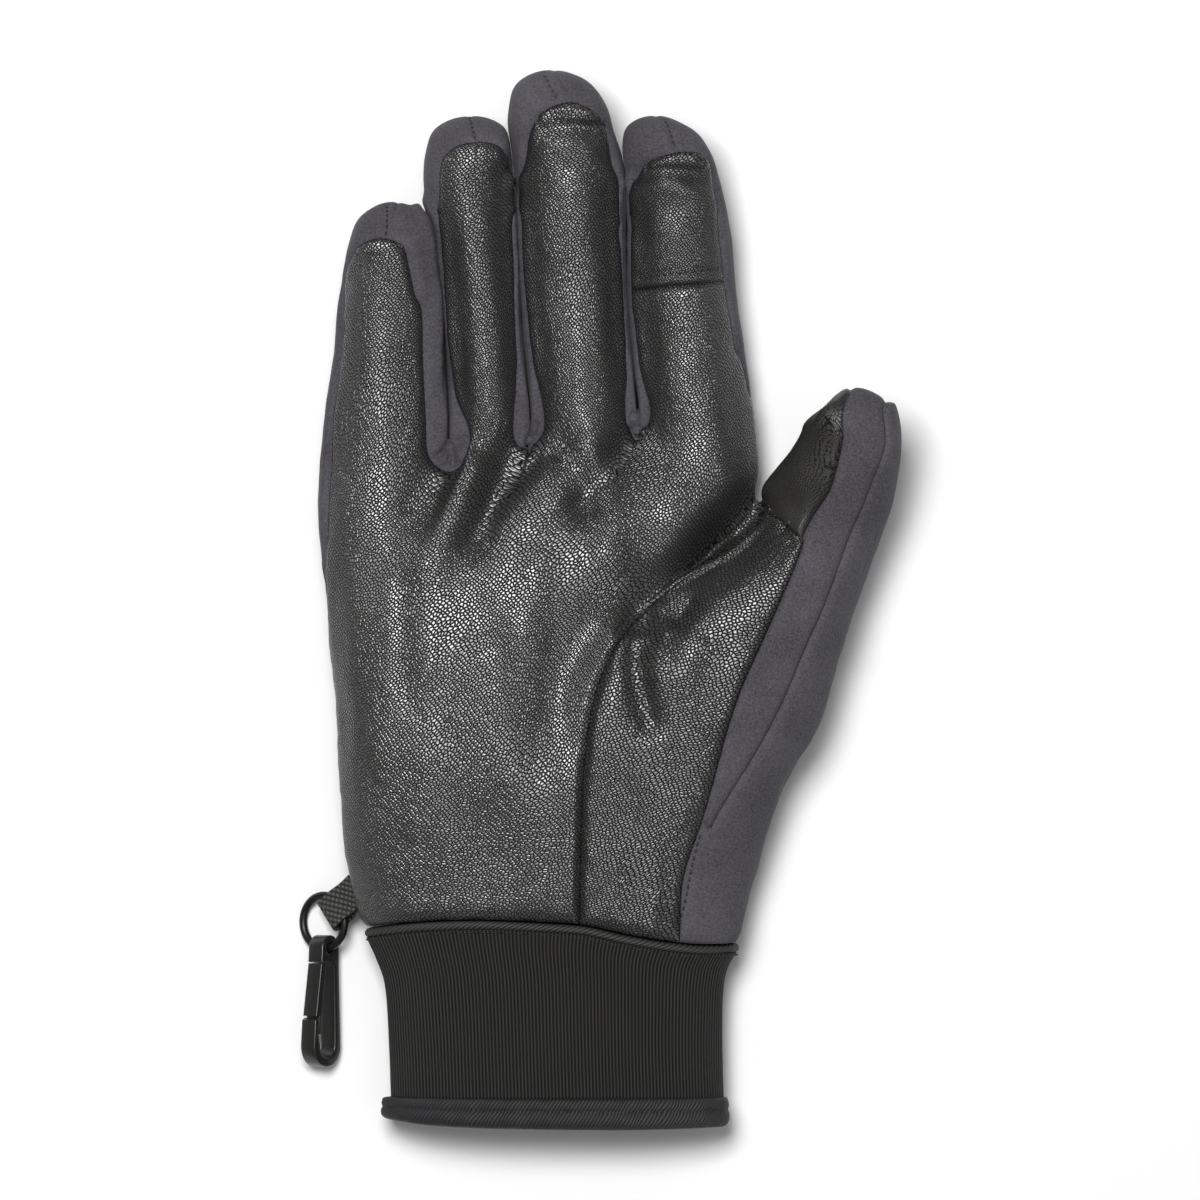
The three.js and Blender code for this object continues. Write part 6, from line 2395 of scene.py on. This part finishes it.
        settle(piece, Matrix.Translation(root * MM) @ turned)
        return piece

    def build(self) -> None:
        """Make, dress and fasten the loop's pieces."""
        fasten(self.ring(), self.ring_finish, "ring")
        fasten(self.webbing(), self.webbing_finish, "webbing_loop")
        body, gate = self.hook()
        fasten(body, self.hook_finish, "hook_body")
        fasten(gate, self.hook_finish, "hook_gate", GATE_BODY)


@dataclass
class Studio:
    """A pale floor, soft lights and a camera straight above the glove."""

    picture_mm: float = 284.4
    camera_height: float = 4.0
    sensor: float = 36.0
    focus_level: float = 0.015
    floor_size: float = 6.0

    def floor(self) -> None:
        """Lay the pale floor."""
        bpy.ops.object.select_all(action="DESELECT")
        bpy.ops.mesh.primitive_plane_add(size=self.floor_size, location=(0, 0, -0.0002))
        floor = bpy.context.active_object
        floor.name = "floor"
        bpy.ops.object.transform_apply(location=True, rotation=True, scale=True)
        floor.data.materials.append(PaleCard("pale card").build())

    def light(self, name: str, where: Triple, size: float, power: float) -> None:
        """Add a soft square light aimed at the glove.

        Args:
            name: the light's name.
            where: its place, in metres.
            size: its width, in metres.
            power: in watts.
        """
        data = bpy.data.lights.new(name, "AREA")
        data.shape = "SQUARE"
        data.size = size
        data.energy = power
        lamp = bpy.data.objects.new(name, data)
        lamp.location = where
        lamp.rotation_euler = (-Vector(where)).to_track_quat("-Z", "Y").to_euler()
        bpy.context.scene.collection.objects.link(lamp)

    def build(self) -> None:
        """Set up the floor, the lights, the world and the camera."""
        self.floor()
        self.light("key_softbox", (-0.2, 0.32, 1.5), 0.5, 23)
        self.light("fill_softbox", (0.25, -0.2, 1.6), 1.5, 4)
        world = bpy.data.worlds.new("studio")
        world.use_nodes = True
        world.node_tree.nodes["Background"].inputs["Color"].default_value = (1, 1, 1, 1)
        world.node_tree.nodes["Background"].inputs["Strength"].default_value = 0.16
        bpy.context.scene.world = world
        bpy.context.scene.view_settings.view_transform = "Standard"
        data = bpy.data.cameras.new("camera")
        data.sensor_width = self.sensor
        data.lens = self.sensor * (self.camera_height - self.focus_level) / (self.picture_mm * MM)
        camera = bpy.data.objects.new("camera", data)
        camera.location = (0, 0, self.camera_height)
        bpy.context.scene.collection.objects.link(camera)
        bpy.context.scene.camera = camera


def main() -> None:
    """Build the studio and then the glove, piece by piece."""
    logging.basicConfig(level=logging.INFO, format="%(message)s")
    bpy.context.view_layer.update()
    Studio().build()
    leather = PebbledLeather("pebbled goatskin").build()
    touch = PebbledLeather(
        "touch-screen leather", "#262524", grain=0.58, relief=0.13, roughness=0.4, coat_ior=1.9, stretch=1.3,
    ).build()
    thumb_touch = PebbledLeather(
        "touch-screen leather of the thumb", "#302f2b", grain=0.32, relief=0.03, roughness=0.5,
        coat_ior=1.5, stretch=1.2, slant=60.0,
    ).build()
    thumb = PebbledLeather("pebbled goatskin of the thumb", "#2a2928", slant=20.0, coat_ior=2.0).build()
    softshell = Softshell("charcoal softshell").build()
    knit = RibKnit("stretch rib knit").build()
    # The binding's second colour is the painted shade between its yarns
    binding = CordedBinding("stretch binding", "#1e1e21", "#070708", yarn=0.75, slant=28.0).build()
    finishes = {panel: softshell for panel in PANELS}
    finishes.update({Panel.PALM: leather, Panel.THUMB_LEATHER: thumb})
    finishes.update({Panel.INDEX_PATCH: touch, Panel.THUMB_PATCH: thumb_touch})
    hand = HandForm()
    cage = Cage(hand, make_digits())
    panels = Shell(cage, finishes).build()
    cuff = Cuff(hand, knit, binding, CordedBinding("overlocked edge").build())
    cuff.build()
    stitching = Stitching(Thread("sewing thread").build())
    stitching.on_panels(panels)
    stitching.round_wrist(cuff.stitch_loops())
    tape = Webbing("woven webbing").build()
    steel = Moulded("black coated steel", "#262625", 0.34, metallic=0.6).build()
    acetal = Moulded("moulded acetal", "#201f1e", 0.28).build()
    CarryingLoop(tape, steel, acetal).build()


if __name__ == "__main__":
    main()
